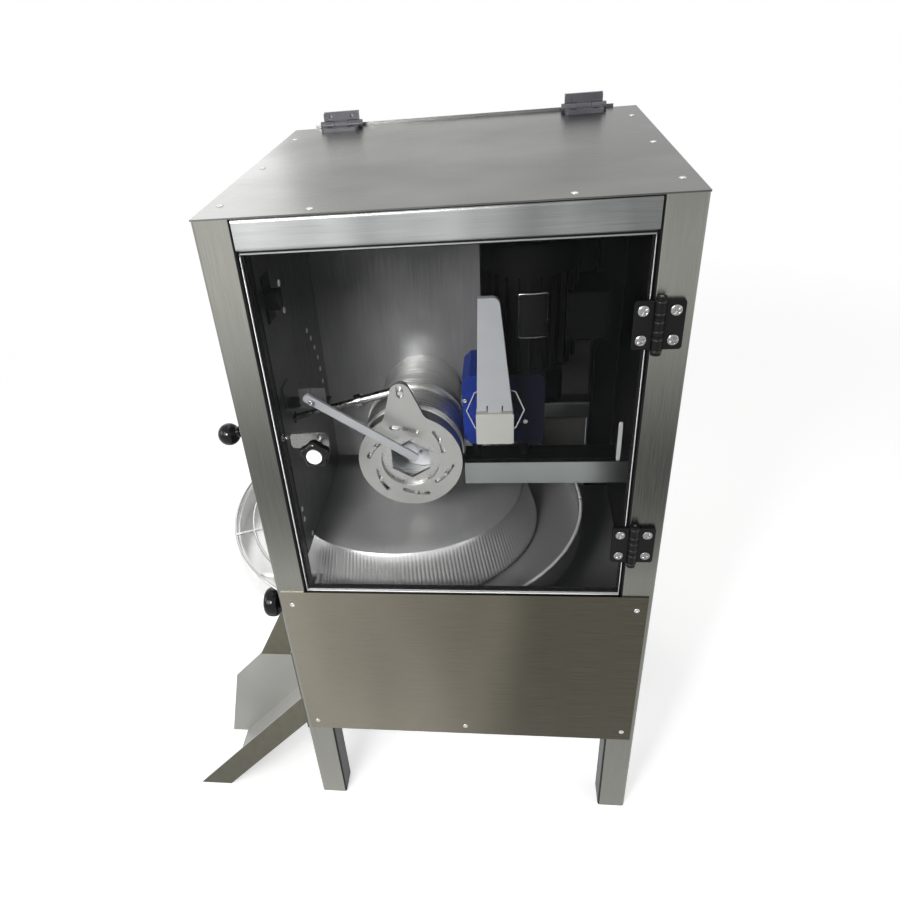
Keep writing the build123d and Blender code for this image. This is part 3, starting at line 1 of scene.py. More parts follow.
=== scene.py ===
import bmesh
import bpy
import json
import math
import numpy as np
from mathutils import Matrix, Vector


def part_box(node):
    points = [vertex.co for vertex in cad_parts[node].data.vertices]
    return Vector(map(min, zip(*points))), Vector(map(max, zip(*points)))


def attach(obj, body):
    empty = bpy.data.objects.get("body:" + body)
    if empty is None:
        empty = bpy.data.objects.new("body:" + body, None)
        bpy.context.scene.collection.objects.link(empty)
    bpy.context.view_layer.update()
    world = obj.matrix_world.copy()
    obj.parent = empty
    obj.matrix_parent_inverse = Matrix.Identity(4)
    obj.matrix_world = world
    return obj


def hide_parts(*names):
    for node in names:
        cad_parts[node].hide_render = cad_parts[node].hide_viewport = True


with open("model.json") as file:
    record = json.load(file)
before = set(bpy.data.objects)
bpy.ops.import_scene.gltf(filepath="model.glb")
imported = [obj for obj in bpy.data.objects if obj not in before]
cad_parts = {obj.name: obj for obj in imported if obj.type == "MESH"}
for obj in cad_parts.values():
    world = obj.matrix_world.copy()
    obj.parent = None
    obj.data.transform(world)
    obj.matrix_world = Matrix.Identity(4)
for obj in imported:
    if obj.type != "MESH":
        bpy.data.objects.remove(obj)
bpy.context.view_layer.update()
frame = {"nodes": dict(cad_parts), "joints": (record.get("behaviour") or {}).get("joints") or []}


# Camera: held a little above the cabinet's top and to the right of its middle, tilted down
# at the door, with a wide lens. Places are in metres in the frame of the machine.
CAMERA_PLACE = (0.1909, -1.1878, 1.3775)
CAMERA_TURN = (55.466, 4.899, 6.554)
CAMERA_LENS = 30.25
CAMERA_SENSOR = 36.0
CAMERA_SHIFT = (0.0589, 0.0427)
CAMERA_SIGHT = 50.0
scene = bpy.context.scene
camera_data = bpy.data.cameras.new("photo_camera")
camera_data.lens = CAMERA_LENS
camera_data.sensor_width = CAMERA_SENSOR
camera_data.shift_x, camera_data.shift_y = CAMERA_SHIFT
camera_data.clip_end = CAMERA_SIGHT
camera = bpy.data.objects.new("photo_camera", camera_data)
camera.location = CAMERA_PLACE
camera.rotation_euler = np.radians(CAMERA_TURN)
scene.collection.objects.link(camera)
scene.camera = camera
scene.view_settings.view_transform = "Standard"


# Studio: a pale floor that runs out into a white surround, soft square lamps high at the front
# left, at the right, overhead and behind, and narrow ones at the outlet and into the cabinet.
# Each lamp has its place, the point it is aimed at, its side, its power and its spread.
SURROUND = 1.0
AMBIENT = 0.3
WHITE = (1.0, 1.0, 1.0, 1.0)
FLOOR_SIDE = 24.0
FLOOR_PALE = (0.9, 0.9, 0.895)
FLOOR_FAR = (0.0, 0.0, 0.0)
FLOOR_ROUGH = 0.9
FLOOR_GLOW = 0.5
FLOOR_FADE = (1.3, 3.2)
NOISE_LOW = 0.3
NOISE_HIGH = 0.7
LAMPS = {
    "front_lamp": ((-1.5, -2.4, 2.3), (-0.05, -0.2, 0.75), 1.4, 40.0, 180),
    "right_lamp": ((2.6, -1.2, 1.6), (0.1, 0.0, 0.7), 1.4, 12.0, 180),
    "top_lamp": ((0.2, 0.7, 3.0), (0.1, 0.0, 1.1), 1.8, 13.0, 180),
    "rear_lamp": ((-1.6, 2.6, 2.0), (0.0, 0.2, 0.7), 1.6, 11.0, 180),
    "left_lamp": ((-1.5, -0.5, 1.2), (-0.15, -0.05, 0.45), 0.7, 1.0, 70),
    "door_lamp": ((-0.4, -1.5, 1.5), (0.02, -0.05, 0.66), 0.4, 2.6, 50),
}


def feed(tree, socket, value):
    """Sets an input socket to a value, or links it to another node's output."""
    if isinstance(value, bpy.types.NodeSocket):
        tree.links.new(value, socket)
    else:
        socket.default_value = value


def fill(tree, node, **sockets):
    """Feeds a node's input sockets by name, and gives the node back."""
    for name, value in sockets.items():
        feed(tree, node.inputs[name.replace("_", " ")], value)
    return node


def add_node(tree, kind, **sockets):
    """A new shader node with some input sockets fed by name."""
    return fill(tree, tree.nodes.new(kind), **sockets)


def maths(tree, operation, *inputs, kind="ShaderNodeMath", output="Value"):
    """The result of a math node on numbers or on other nodes' outputs."""
    made = tree.nodes.new(kind)
    made.operation = operation
    for socket, value in zip(made.inputs, inputs):
        feed(tree, socket, value)
    return made.outputs[output]


def vector_maths(tree, operation, *inputs, output="Vector"):
    """The result of a vector math node, a vector or a number."""
    return maths(tree, operation, *inputs, kind="ShaderNodeVectorMath", output=output)


def ranged(tree, value, low, high, from_low=NOISE_LOW, from_high=NOISE_HIGH):
    """A value taken from the usual range of noise, or from a given one, to a new range."""
    made = add_node(tree, "ShaderNodeMapRange", Value=value, From_Min=from_low,
                    From_Max=from_high, To_Min=low, To_Max=high)
    return made.outputs["Result"]


def linked_mix(tree, factor, first, second):
    """A colour between two, by a factor that changes over the surface."""
    made = tree.nodes.new("ShaderNodeMix")
    made.data_type = "RGBA"
    ends = [end if isinstance(end, bpy.types.NodeSocket) else (*end, 1.0)
            for end in (first, second)]
    return fill(tree, made, Factor=factor, A=ends[0], B=ends[1]).outputs["Result"]


def seen_directly(tree):
    """1 for rays that show a surface as it is: camera, mirror and see-through rays."""
    rays = add_node(tree, "ShaderNodeLightPath").outputs
    shown = maths(tree, "MAXIMUM", rays["Is Camera Ray"], rays["Is Glossy Ray"])
    return maths(tree, "MAXIMUM", shown, rays["Is Transmission Ray"])


def object_place(tree):
    """The place on the piece, in metres."""
    return add_node(tree, "ShaderNodeTexCoord").outputs["Object"]


def new_material(name, **sockets):
    """A material, its node tree and its shader with some sockets set by name."""
    made = bpy.data.materials.new(name)
    made.use_nodes = True
    tree = made.node_tree
    return made, tree, fill(tree, tree.nodes["Principled BSDF"], **sockets)


world = bpy.data.worlds.new("white_surround")
scene.world = world
world.use_nodes = True
sky = world.node_tree
sky_level = ranged(sky, seen_directly(sky), AMBIENT, SURROUND, 0.0, 1.0)
fill(sky, sky.nodes["Background"], Color=WHITE, Strength=sky_level)

for name, (place, aim, side, power, spread) in LAMPS.items():
    lamp_data = bpy.data.lights.new(name, "AREA")
    lamp_data.size = side
    lamp_data.energy = power
    lamp_data.spread = math.radians(spread)
    lamp = bpy.data.objects.new(name, lamp_data)
    lamp.location = place
    beam = np.array(aim) - np.array(place)
    pitch = math.acos(-beam[2] / np.linalg.norm(beam))
    lamp.rotation_euler = (pitch, 0.0, math.atan2(-beam[0], beam[1]))
    scene.collection.objects.link(lamp)

floor_mesh = bpy.data.meshes.new("studio_floor")
half = FLOOR_SIDE / 2
floor_corners = [(-half, -half, 0), (half, -half, 0), (half, half, 0), (-half, half, 0)]
floor_mesh.from_pydata(floor_corners, [], [(0, 1, 2, 3)])
studio_floor = bpy.data.objects.new("studio_floor", floor_mesh)
scene.collection.objects.link(studio_floor)
floor_paint, floor_tree, floor_shader = new_material(
    "studio_floor", Roughness=FLOOR_ROUGH, Specular_IOR_Level=0.0, Emission_Color=WHITE)
floor_distance = vector_maths(floor_tree, "LENGTH", object_place(floor_tree), output="Value")
floor_fade = ranged(floor_tree, floor_distance, 0.0, 1.0, *FLOOR_FADE)
floor_glow = maths(floor_tree, "MULTIPLY_ADD", floor_fade, SURROUND - FLOOR_GLOW, FLOOR_GLOW)
fill(floor_tree, floor_shader,
     Base_Color=linked_mix(floor_tree, floor_fade, FLOOR_PALE, FLOOR_FAR),
     Emission_Strength=maths(floor_tree, "MULTIPLY", floor_glow, seen_directly(floor_tree)))
floor_mesh.materials.append(floor_paint)


# Cabinet frame: square stainless tube, ground along its length, welded and brushed over.
# The posts are the legs as well, and the cross tubes carry the sheets.
STROKE_UP = (2400.0, 2400.0, 14.0)
STROKE_ACROSS = (14.0, 2400.0, 2400.0)
ZEROS = (0.0, 0.0, 0.0)
ONES = (1.0, 1.0, 1.0)
EVEN_BANDS = (3.0, 3.0, 3.0)
GRAIN_SHARE = 0.22
GRAIN_SWING = 0.07
GRAIN_RELIEF = 0.00002
RELIEF_STRENGTH = 0.4


def new_group(name, inputs, outputs):
    """A node group whose inputs have the given values and whose outputs are numbers: its tree,
    what comes in, the node that puts out, and the place on the piece."""
    tree = bpy.data.node_groups.new(name, "ShaderNodeTree")
    for socket, value in inputs.items():
        kind = "NodeSocketFloat" if isinstance(value, float) else "NodeSocketVector"
        made = tree.interface.new_socket(name=socket, in_out="INPUT", socket_type=kind)
        made.default_value = value
    for socket in outputs:
        tree.interface.new_socket(name=socket, in_out="OUTPUT", socket_type="NodeSocketFloat")
    given = tree.nodes.new("NodeGroupInput").outputs
    return tree, given, tree.nodes.new("NodeGroupOutput"), object_place(tree)


def use_group(tree, group, **sockets):
    """The outputs of a node group placed in a tree, with its inputs set by name."""
    made = tree.nodes.new("ShaderNodeGroup")
    made.node_tree = group
    return fill(tree, made, **sockets).outputs


def make_brushed_grain():
    """Grain of brushed metal: noise squeezed across the stroke, and broad soft bands, with painted
    shade added to them as a ramp one way from a middle."""
    tree, given, leave, place = new_group(
        "brushed_grain", {"Stroke": ONES, "Bands": ONES, "Drift": ZEROS, "Middle": ZEROS},
        ("Grain", "Cloud"))
    grain = add_node(tree, "ShaderNodeTexNoise", Scale=1.0, Detail=5.0, Roughness=0.65,
                     Vector=vector_maths(tree, "MULTIPLY", place, given["Stroke"]))
    cloud = add_node(tree, "ShaderNodeTexNoise", Scale=1.0, Detail=2.5, Roughness=0.5,
                     Vector=vector_maths(tree, "MULTIPLY", place, given["Bands"]))
    offset = vector_maths(tree, "SUBTRACT", place, given["Middle"])
    shade_drift = vector_maths(tree, "DOT_PRODUCT", offset, given["Drift"], output="Value")
    fill(tree, leave, Grain=grain.outputs["Fac"],
         Cloud=maths(tree, "ADD", cloud.outputs["Fac"], shade_drift))
    return tree


BRUSHED_GRAIN = make_brushed_grain()


def two_scales(tree, fine, broad, share):
    """A fine and a broad noise added, the fine one with a share of the whole."""
    broad_part = ranged(tree, broad, 0.0, 1.0 - share)
    return maths(tree, "ADD", ranged(tree, fine, 0.0, share), broad_part)


def grained(tree, shader, colours, blend, rough, swing, grain, relief, height):
    """Lets the colour follow a blend of two, the roughness swing with a grain, and the surface
    rise by a relief in metres with a height."""
    bump = add_node(tree, "ShaderNodeBump", Strength=RELIEF_STRENGTH, Distance=relief,
                    Height=height)
    fill(tree, shader, Base_Color=linked_mix(tree, blend, *colours),
         Roughness=ranged(tree, grain, rough - swing, rough + swing),
         Normal=bump.outputs["Normal"])


def brushed_steel(name, dark, bright, stroke, rough, bands=EVEN_BANDS, metallic=1.0,
                  shade_drift=ZEROS, middle=ZEROS):
    """Sheet or bar metal with a brushed grain: colour, gloss and relief all follow the stroke, and
    the colour takes a ramp of painted shade where one is given.
    """
    steel, tree, shader = new_material(name, Metallic=metallic)
    made = use_group(tree, BRUSHED_GRAIN, Stroke=stroke, Bands=bands, Drift=shade_drift, Middle=middle)
    blend = two_scales(tree, made["Grain"], made["Cloud"], GRAIN_SHARE)
    grained(tree, shader, (dark, bright), blend, rough, GRAIN_SWING, made["Grain"],
            GRAIN_RELIEF, made["Grain"])
    return steel


def dress(material, *nodes):
    """Gives CAD pieces their finish."""
    for node in nodes:
        mesh = frame["nodes"][node].data
        mesh.materials.clear()
        mesh.materials.append(material)


def along_axis(tree, kind, axis):
    """What lies along an axis: of the surface's own direction for Normal, of the place on the
    piece for Object."""
    whole = add_node(tree, "ShaderNodeTexCoord").outputs[kind]
    return add_node(tree, "ShaderNodeSeparateXYZ", Vector=whole).outputs[axis]


# Painted shade for faces inside the cabinet: a noise mixes its two colours.
SHADE_NOISE_SCALE = 14.0
SHADE_NOISE_DETAIL = 3.0
DULL_SPECULAR = 0.1


def paint_shaded_faces(steel, turned, colours, blend=None):
    """Paints shade on the faces where a value is over a half: other colours, mixed by a noise
    or by a given blend, matt and with no metal."""
    tree = steel.node_tree
    shader = tree.nodes["Principled BSDF"]
    outer = shader.inputs["Base Color"].links[0].from_socket
    if blend is None:
        blend = add_node(tree, "ShaderNodeTexNoise", Scale=SHADE_NOISE_SCALE,
                         Detail=SHADE_NOISE_DETAIL).outputs["Fac"]
    inner = linked_mix(tree, blend, *colours)
    painted_side = maths(tree, "GREATER_THAN", turned, 0.5)
    metallic = shader.inputs["Metallic"].default_value
    fill(tree, shader, Base_Color=linked_mix(tree, painted_side, outer, inner),
         Metallic=ranged(tree, painted_side, metallic, 0.0, 0.0, 1.0), Specular_IOR_Level=DULL_SPECULAR)
    return steel


def tone_mix(material):
    """The node that mixes a material's two colours, and the value that it mixes them by."""
    shader = material.node_tree.nodes["Principled BSDF"]
    mix = shader.inputs["Base Color"].links[0].from_node
    return mix, mix.inputs["Factor"].links[0].from_socket


def middle_of(low, high):
    """The middle of a box."""
    return [(start + end) / 2 for start, end in zip(low, high)]


# Painted shade: the inner faces of the posts and of the side walls are painted nearly black.
PAINTED_INNER_SHADE = ((0.004, 0.004, 0.004), (0.018, 0.018, 0.018))
POST_SHEEN_WAVE = 0.62
POST_SHEEN_CREST = 1.08
POST_SHEEN_SWING = 0.29
POST_SHEEN_FLAT_BELOW = 0.585
POST_INWARD = 5.0
CROSS_BANDS = (6.0, 3.0, 2.0)
posts_low, posts_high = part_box("corner_posts")
posts_middle = middle_of(posts_low, posts_high)
# Painted sheen and shade on the posts: a light and dark wave up their height, even below a level,
# and a little darker to the right.
POST_STEEL = brushed_steel(
    "post_steel", (0.045, 0.045, 0.041), (0.34, 0.34, 0.31), STROKE_UP, 0.34, (0.2, 0.2, 0.2),
    shade_drift=(-0.14, 0.0, 0.0), middle=posts_middle)
# Painted shade: the rails are darker to the right.
RAIL_STEEL = brushed_steel(
    "rail_steel", (0.13, 0.132, 0.133), (0.5, 0.51, 0.51), STROKE_ACROSS, 0.34, CROSS_BANDS,
    shade_drift=(-0.55, 0.0, 0.0), middle=posts_middle)
BEAM_STEEL = brushed_steel(
    "beam_steel", (0.25, 0.27, 0.265), (0.42, 0.45, 0.44), STROKE_ACROSS, 0.34, CROSS_BANDS)
post_tree = POST_STEEL.node_tree
post_mix, post_blend = tone_mix(POST_STEEL)
post_level = maths(post_tree, "MAXIMUM", along_axis(post_tree, "Object", "Z"), POST_SHEEN_FLAT_BELOW)
post_sheen_angle = maths(post_tree, "MULTIPLY_ADD", post_level, 2 * math.pi / POST_SHEEN_WAVE,
                   -2 * math.pi * POST_SHEEN_CREST / POST_SHEEN_WAVE)
post_sheen = maths(post_tree, "COSINE", post_sheen_angle)
fill(post_tree, post_mix,
     Factor=maths(post_tree, "MULTIPLY_ADD", post_sheen, POST_SHEEN_SWING, post_blend))
# Painted shade on the posts' faces that are turned in towards the cabinet's middle.
turned_in = 0.0
for axis, middle in zip("XY", posts_middle):
    from_middle = maths(post_tree, "MULTIPLY_ADD", along_axis(post_tree, "Object", axis),
                        -POST_INWARD, POST_INWARD * middle)
    facing = maths(post_tree, "MULTIPLY", along_axis(post_tree, "Normal", axis), from_middle)
    turned_in = maths(post_tree, "MAXIMUM", facing, turned_in)
dress(paint_shaded_faces(POST_STEEL, turned_in, PAINTED_INNER_SHADE), "corner_posts")
dress(RAIL_STEEL, "frame_rails")
dress(BEAM_STEEL, "gearbox_rail")


# Sheets: thin stainless on the frame, satin ground, warmer in tone on the front panel. Painted
# shade darkens the front panel to the right, and the top all over and more so to the right. The
# inner walls are the same sheet, with painted shade on them.
WALL_BANDS = (3.0, 3.0, 2.0)
REAR_INNER_SHADE = ((0.45, 0.45, 0.42), (0.002, 0.002, 0.002))
REAR_SHADE = (0.6, 0.74)
FRONT_SHADE_SHIFT = 0.1


def side_sheet(name, inward):
    """Brushed sheet for a side wall, with painted shade on its inner face, matt and dark."""
    steel = brushed_steel(name, (0.12, 0.12, 0.114), (0.34, 0.34, 0.325), STROKE_UP, 0.3,
                          WALL_BANDS)
    tree = steel.node_tree
    turned = maths(tree, "MULTIPLY", along_axis(tree, "Normal", "X"), inward)
    return paint_shaded_faces(steel, turned, PAINTED_INNER_SHADE)


panel_low, panel_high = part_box("front_panel")
panel_middle = middle_of(panel_low, panel_high)
front_shade_middle = (panel_middle[0] - FRONT_SHADE_SHIFT, *panel_middle[1:])
wall_low, wall_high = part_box("partition")
# Painted shade: the front panel is darker to the right of a point left of its middle, and the top
# is darker all over and to the right.
FRONT_STEEL = brushed_steel(
    "front_sheet", (0.05, 0.046, 0.034), (0.28, 0.26, 0.213), STROKE_ACROSS, 0.3, (2.5, 1.0, 0.8),
    shade_drift=(-1.1, 0.0, 0.15), middle=front_shade_middle)
TOP_STEEL = brushed_steel(
    "top_sheet", (0.043, 0.043, 0.04), (0.19, 0.193, 0.181), STROKE_ACROSS, 0.28, (4.0, 5.0, 1.0),
    shade_drift=(-0.6, 0.0, 0.0), middle=panel_middle)
BACK_STEEL = brushed_steel(
    "back_sheet", (0.14, 0.14, 0.133), (0.36, 0.36, 0.345), STROKE_UP, 0.3, WALL_BANDS,
    metallic=0.7)
# Painted shade: the partition, base sheet, shelf and hopper are darker towards the top and a
# little lighter to the right.
WALL_STEEL = brushed_steel(
    "inner_sheet", (0.025, 0.025, 0.026), (0.42, 0.42, 0.425), STROKE_UP, 0.38, WALL_BANDS,
    metallic=0.55, shade_drift=(0.3, 0.0, -1.3), middle=middle_of(wall_low, wall_high))
# Painted shade: the liner is painted dark all over, and so is the strip's bracket, which takes its
# finish.
LINER_STEEL = brushed_steel(
    "liner_sheet", (0.02, 0.02, 0.021), (0.12, 0.12, 0.12), STROKE_UP, 0.3, (4.0, 7.0, 2.5),
    metallic=0.7)
dress(FRONT_STEEL, "front_panel")
dress(TOP_STEEL, "top_sheet")
dress(side_sheet("left_sheet", 1.0), "left_side_panel")
dress(side_sheet("right_sheet", -1.0), "right_side_panel")
# Painted light and shade on the inner faces of the back panel and the hatch: grey low down, nearly
# black higher up.
back_tree = BACK_STEEL.node_tree
rear_shade = ranged(back_tree, along_axis(back_tree, "Object", "Z"), 0.0, 1.0, *REAR_SHADE)
below_top = maths(back_tree, "LESS_THAN", along_axis(back_tree, "Object", "Z"), posts_high[2])
to_front = maths(back_tree, "MULTIPLY", along_axis(back_tree, "Normal", "Y"), -1.0)
turned_in = maths(back_tree, "MULTIPLY", to_front, below_top)
dress(paint_shaded_faces(BACK_STEEL, turned_in, REAR_INNER_SHADE, rear_shade), "back_panel", "hatch_panel")
dress(WALL_STEEL, "base_sheet", "partition", "drive_shelf", "hopper")
dress(LINER_STEEL, "left_liner", "stripper_bracket")


# Blind rivets: domed steel heads that hold the top sheet and the front panel to the frame.
# Each head is a low dome with a small dimple where the mandrel broke off.
UP = (0, 0, 1)
FRONT = (0, -1, 0)
RIGHT = (1, 0, 0)
STROKE_FINE = (300.0, 300.0, 300.0)
MERGE_WITHIN = 1e-6
UPRIGHT = 0.9
RIVET_RADIUS = 0.0045
RIVET_RISE = 0.0016
RIVET_SEAT = 0.0004
RIVET_STEPS = 8
RIVET_SIDES = 24
RIVET_DIMPLE = 0.0012
DIMPLE_TAPER = 0.9
DIMPLE_LEVELS = (0.55, 0.5)
RIVET_MARGIN = 0.02
RIVET_TOP_ROWS = (0.06, 0.27, 0.485)
RIVET_FRONT_OFFSET = 0.155
PANEL_RIVET_INSET = 0.016
PANEL_RIVET_TOP = 0.028
PANEL_RIVET_FOOT = 0.021


def grid_faces(rows, columns):
    """Quads between the points of a grid whose columns close on themselves."""
    row, column = np.meshgrid(np.arange(rows - 1), np.arange(columns), indexing="ij")
    beside = (column + 1) % columns
    low, high = row * columns, (row + 1) * columns
    corners = [low + column, low + beside, high + beside, high + column]
    return np.stack(corners, axis=-1).reshape(-1, 4)


def frame_of(axis):
    """Two directions square to an axis, and the axis."""
    axis = np.array(axis, float) / np.linalg.norm(axis)
    helper = np.array(UP if abs(axis[2]) < UPRIGHT else RIGHT, float)
    first = np.cross(helper, axis)
    first /= np.linalg.norm(first)
    return first, np.cross(axis, first), axis


def revolved(radius, height, place, axis, sides, lobes=None):
    """Radius and height along a profile, carried round an axis; lobes scales the radius by
    angle."""
    angle = np.linspace(0.0, 2 * np.pi, sides, endpoint=False)
    across = np.array(radius)[:, None] * (np.ones(sides) if lobes is None else lobes(angle))
    first, second, along = frame_of(axis)
    x, y = across * np.cos(angle), across * np.sin(angle)
    points = x[..., None] * first + y[..., None] * second
    points = points + np.array(height)[:, None, None] * along + np.array(place)
    return points.reshape(-1, 3), grid_faces(len(radius), sides)


def joined(parts):
    """Several surfaces as one list of points and faces."""
    starts = np.cumsum([0] + [len(points) for points, _ in parts[:-1]])
    points = np.concatenate([points for points, _ in parts])
    return points, np.concatenate([faces + start for (_, faces), start in zip(parts, starts)])


def add_piece(name, surface, material, body, smooth=True):
    """A mesh object at the origin, its doubles merged and faces turned outwards, riding on a
    body."""
    points, faces = surface
    mesh = bpy.data.meshes.new(name)
    mesh.from_pydata(points.tolist(), [], faces.tolist())
    work = bmesh.new()
    work.from_mesh(mesh)
    bmesh.ops.remove_doubles(work, verts=work.verts, dist=MERGE_WITHIN)
    bmesh.ops.recalc_face_normals(work, faces=work.faces)
    for face in work.faces:
        face.smooth = smooth
    work.to_mesh(mesh)
    work.free()
    mesh.materials.append(material)
    piece = bpy.data.objects.new(name, mesh)
    scene.collection.objects.link(piece)
    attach(piece, body)
    return piece


def rivet(place, axis):
    """A quarter-ellipse dome from the rim to the dimple, then a short way down into it."""
    turn = np.linspace(0.0, np.arccos(RIVET_DIMPLE / RIVET_RADIUS), RIVET_STEPS)
    dome, rise = RIVET_RADIUS * np.cos(turn), RIVET_RISE * np.sin(turn)
    radius = np.concatenate([[RIVET_RADIUS], dome, [RIVET_DIMPLE * DIMPLE_TAPER, 0.0]])
    height = np.concatenate([[-RIVET_SEAT], rise, RIVET_RISE * np.array(DIMPLE_LEVELS)])
    return revolved(radius, height, place, axis, RIVET_SIDES)


RIVET_STEEL = brushed_steel(
    "rivet_steel", (0.42, 0.42, 0.41), (0.62, 0.62, 0.61), STROKE_FINE, 0.25)
sheet_low, sheet_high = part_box("top_sheet")
middle_x = (sheet_low[0] + sheet_high[0]) / 2
top_places = [(x, sheet_low[1] + row) for row in RIVET_TOP_ROWS
              for x in (sheet_low[0] + RIVET_MARGIN, sheet_high[0] - RIVET_MARGIN)]
top_places += [(middle_x + side * RIVET_FRONT_OFFSET, sheet_low[1] + RIVET_MARGIN)
               for side in (-1, 1)]
panel_left, panel_right = panel_low[0] + PANEL_RIVET_INSET, panel_high[0] - PANEL_RIVET_INSET
panel_places = [(x, panel_high[2] - PANEL_RIVET_TOP) for x in (panel_left, panel_right)]
panel_places += [(x, panel_low[2] + PANEL_RIVET_FOOT)
                 for x in (panel_left, middle_x, panel_right)]
rivets = [rivet((x, y, sheet_high[2]), UP) for x, y in top_places]
rivets += [rivet((x, panel_low[1], z), FRONT) for x, z in panel_places]
add_piece("sheet_rivets", joined(rivets), RIVET_STEEL, "cabinet")


# Moulded pieces: black glass-filled nylon for the door's hinges, its switch and the gland, with
# a fine sandy grain, the same nylon glossier on the top hinges and painted paler there as a
# painted reflection, and black rubber for the door seal and the leg plugs. The hinge pins and the
# strike bolt are bright steel.
SPECKLE_SIZE = 900.0
MOULD_SWING = 0.05


def make_fine_speckle():
    """Fine sandy grain of a moulding: one noise for relief and a broader one for tone."""
    tree, given, leave, place = new_group("fine_speckle", {"Size": SPECKLE_SIZE},
                                          ("Relief", "Tone"))
    relief = add_node(tree, "ShaderNodeTexNoise", Vector=place, Scale=given["Size"], Detail=2.0)
    tone = add_node(tree, "ShaderNodeTexNoise", Vector=place, Scale=35.0, Detail=4.0)
    fill(tree, leave, Relief=relief.outputs["Fac"], Tone=tone.outputs["Fac"])
    return tree


FINE_SPECKLE = make_fine_speckle()


def moulded(name, dark, bright, rough, relief=0.00003, size=SPECKLE_SIZE, gloss=0.5):
    """Plastic, rubber or paint: a near-even colour with a fine grain in tone, gloss and relief."""
    look, tree, shader = new_material(name, Metallic=0.0, Specular_IOR_Level=gloss)
    made = use_group(tree, FINE_SPECKLE, Size=size)
    grained(tree, shader, (dark, bright), made["Tone"], rough, MOULD_SWING, made["Tone"],
            relief, made["Relief"])
    return look


BLACK_NYLON = moulded(
    "black_nylon", (0.003, 0.003, 0.0033), (0.008, 0.008, 0.0085), 0.42, gloss=0.14)
BLACK_RUBBER = moulded(
    "black_rubber", (0.004, 0.004, 0.004), (0.01, 0.01, 0.0097), 0.7, gloss=0.2)
# Painted reflection: the top hinges' nylon is paler than the door's.
TOP_NYLON = moulded("top_nylon", (0.07, 0.068, 0.08), (0.14, 0.136, 0.155), 0.35, gloss=0.4)
dress(BLACK_NYLON, "door_hinge_fixed", "door_hinge_moving", "cable_gland", "door_switch")
dress(TOP_NYLON, "hatch_hinge_fixed", "hatch_hinge_moving")
dress(BLACK_RUBBER, "door_seal", "leg_plugs")
dress(RIVET_STEEL, "hinge_pins", "strike_bolt")


# Door pane: one sheet of clear polycarbonate, hung on the two nylon hinges. It shows the works
# behind it with a faint smoke and a mirror image at a slant. Its edges and its bevelled rim along
# the foot and up both sides carry a painted highlight, and a grey door magnet is stuck inside.
PANE_SMOKE = 0.05
PANE_MIRROR = 0.35
PANE_ROUGH = 0.03
PANE_IOR = 1.45
PANE_TINT = (0.02, 0.022, 0.022)
PANE_EDGE_HIGHLIGHT = (0.7, 0.72, 0.72)
PANE_BEVEL = 0.0011
MAGNET_HALF = (0.0027, 0.03)
MAGNET_THICK = 0.004
MAGNET_FROM_EDGE = 0.019
MAGNET_DROP = 0.003
OUTLINE_POINTS = 64
OUTLINE_RINGS = 7
pane_clear, pane_tree, pane_shader = new_material("pane_clear", Metallic=0.0,
                                                  Roughness=PANE_ROUGH)
pane_slant = add_node(pane_tree, "ShaderNodeFresnel", IOR=PANE_IOR).outputs["Fac"]
pane_haze = add_node(pane_tree, "ShaderNodeTexNoise", Scale=6.0, Detail=3.0).outputs["Fac"]
pane_mirror = maths(pane_tree, "MULTIPLY", pane_slant, PANE_MIRROR)
pane_alpha = maths(pane_tree, "MULTIPLY_ADD", pane_haze, PANE_SMOKE, pane_mirror)
# Painted highlight: the pane's edge faces are pale and opaque.
pane_facing = maths(pane_tree, "ABSOLUTE", along_axis(pane_tree, "Normal", "Y"))
pane_edge = maths(pane_tree, "LESS_THAN", pane_facing, 0.5)
fill(pane_tree, pane_shader, Alpha=maths(pane_tree, "MAXIMUM", pane_alpha, pane_edge),
     Base_Color=linked_mix(pane_tree, pane_edge, PANE_TINT, PANE_EDGE_HIGHLIGHT))
dress(pane_clear, "door_pane")


def plate(half_wide, half_tall, thick, place, across, up, bend=0.0, corner=0.25):
    """A plate with rounded corners and a bevelled rim: a superellipse drawn from its middle
    outwards. The bevel is a third of the thickness or a quarter of the half width. A bend
    radius wraps it round a cylinder that stands along its upward direction."""
    angle = np.linspace(0.0, 2 * np.pi, OUTLINE_POINTS, endpoint=False)
    edge_u = half_wide * np.sign(np.cos(angle)) * np.abs(np.cos(angle)) ** corner
    edge_v = half_tall * np.sign(np.sin(angle)) * np.abs(np.sin(angle)) ** corner
    bevel = min(thick / 3, half_wide / 4)
    inner = 1.0 - bevel / min(half_wide, half_tall)
    outwards, inwards = (np.linspace(*ends, OUTLINE_RINGS) for ends in ((0.0, 1.0), (inner, 0.0)))
    scale = np.concatenate([outwards, [1.0], inwards])[:, None]
    levels = np.concatenate([0.0 * outwards, [thick - bevel], np.full(OUTLINE_RINGS, thick)])
    height = levels[:, None] * np.ones(OUTLINE_POINTS)
    u, v = scale * edge_u, scale * edge_v
    across, up = np.array(across, float), np.array(up, float)
    out = np.cross(across, up)
    if bend:
        turn = u / bend
        u, height = (bend + height) * np.sin(turn), (bend + height) * np.cos(turn) - bend
    points = u[..., None] * across + v[..., None] * up + height[..., None] * out + np.array(place)
    return points.reshape(-1, 3), grid_faces(len(scale), len(angle))


pane_low, pane_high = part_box("door_pane")
pane_middle = middle_of(pane_low, pane_high)
MAGNET_GREY = moulded("magnet_grey", (0.36, 0.36, 0.36), (0.44, 0.44, 0.44), 0.35)
magnet_place = (pane_high[0] - MAGNET_FROM_EDGE, pane_high[1], pane_middle[2] - MAGNET_DROP)
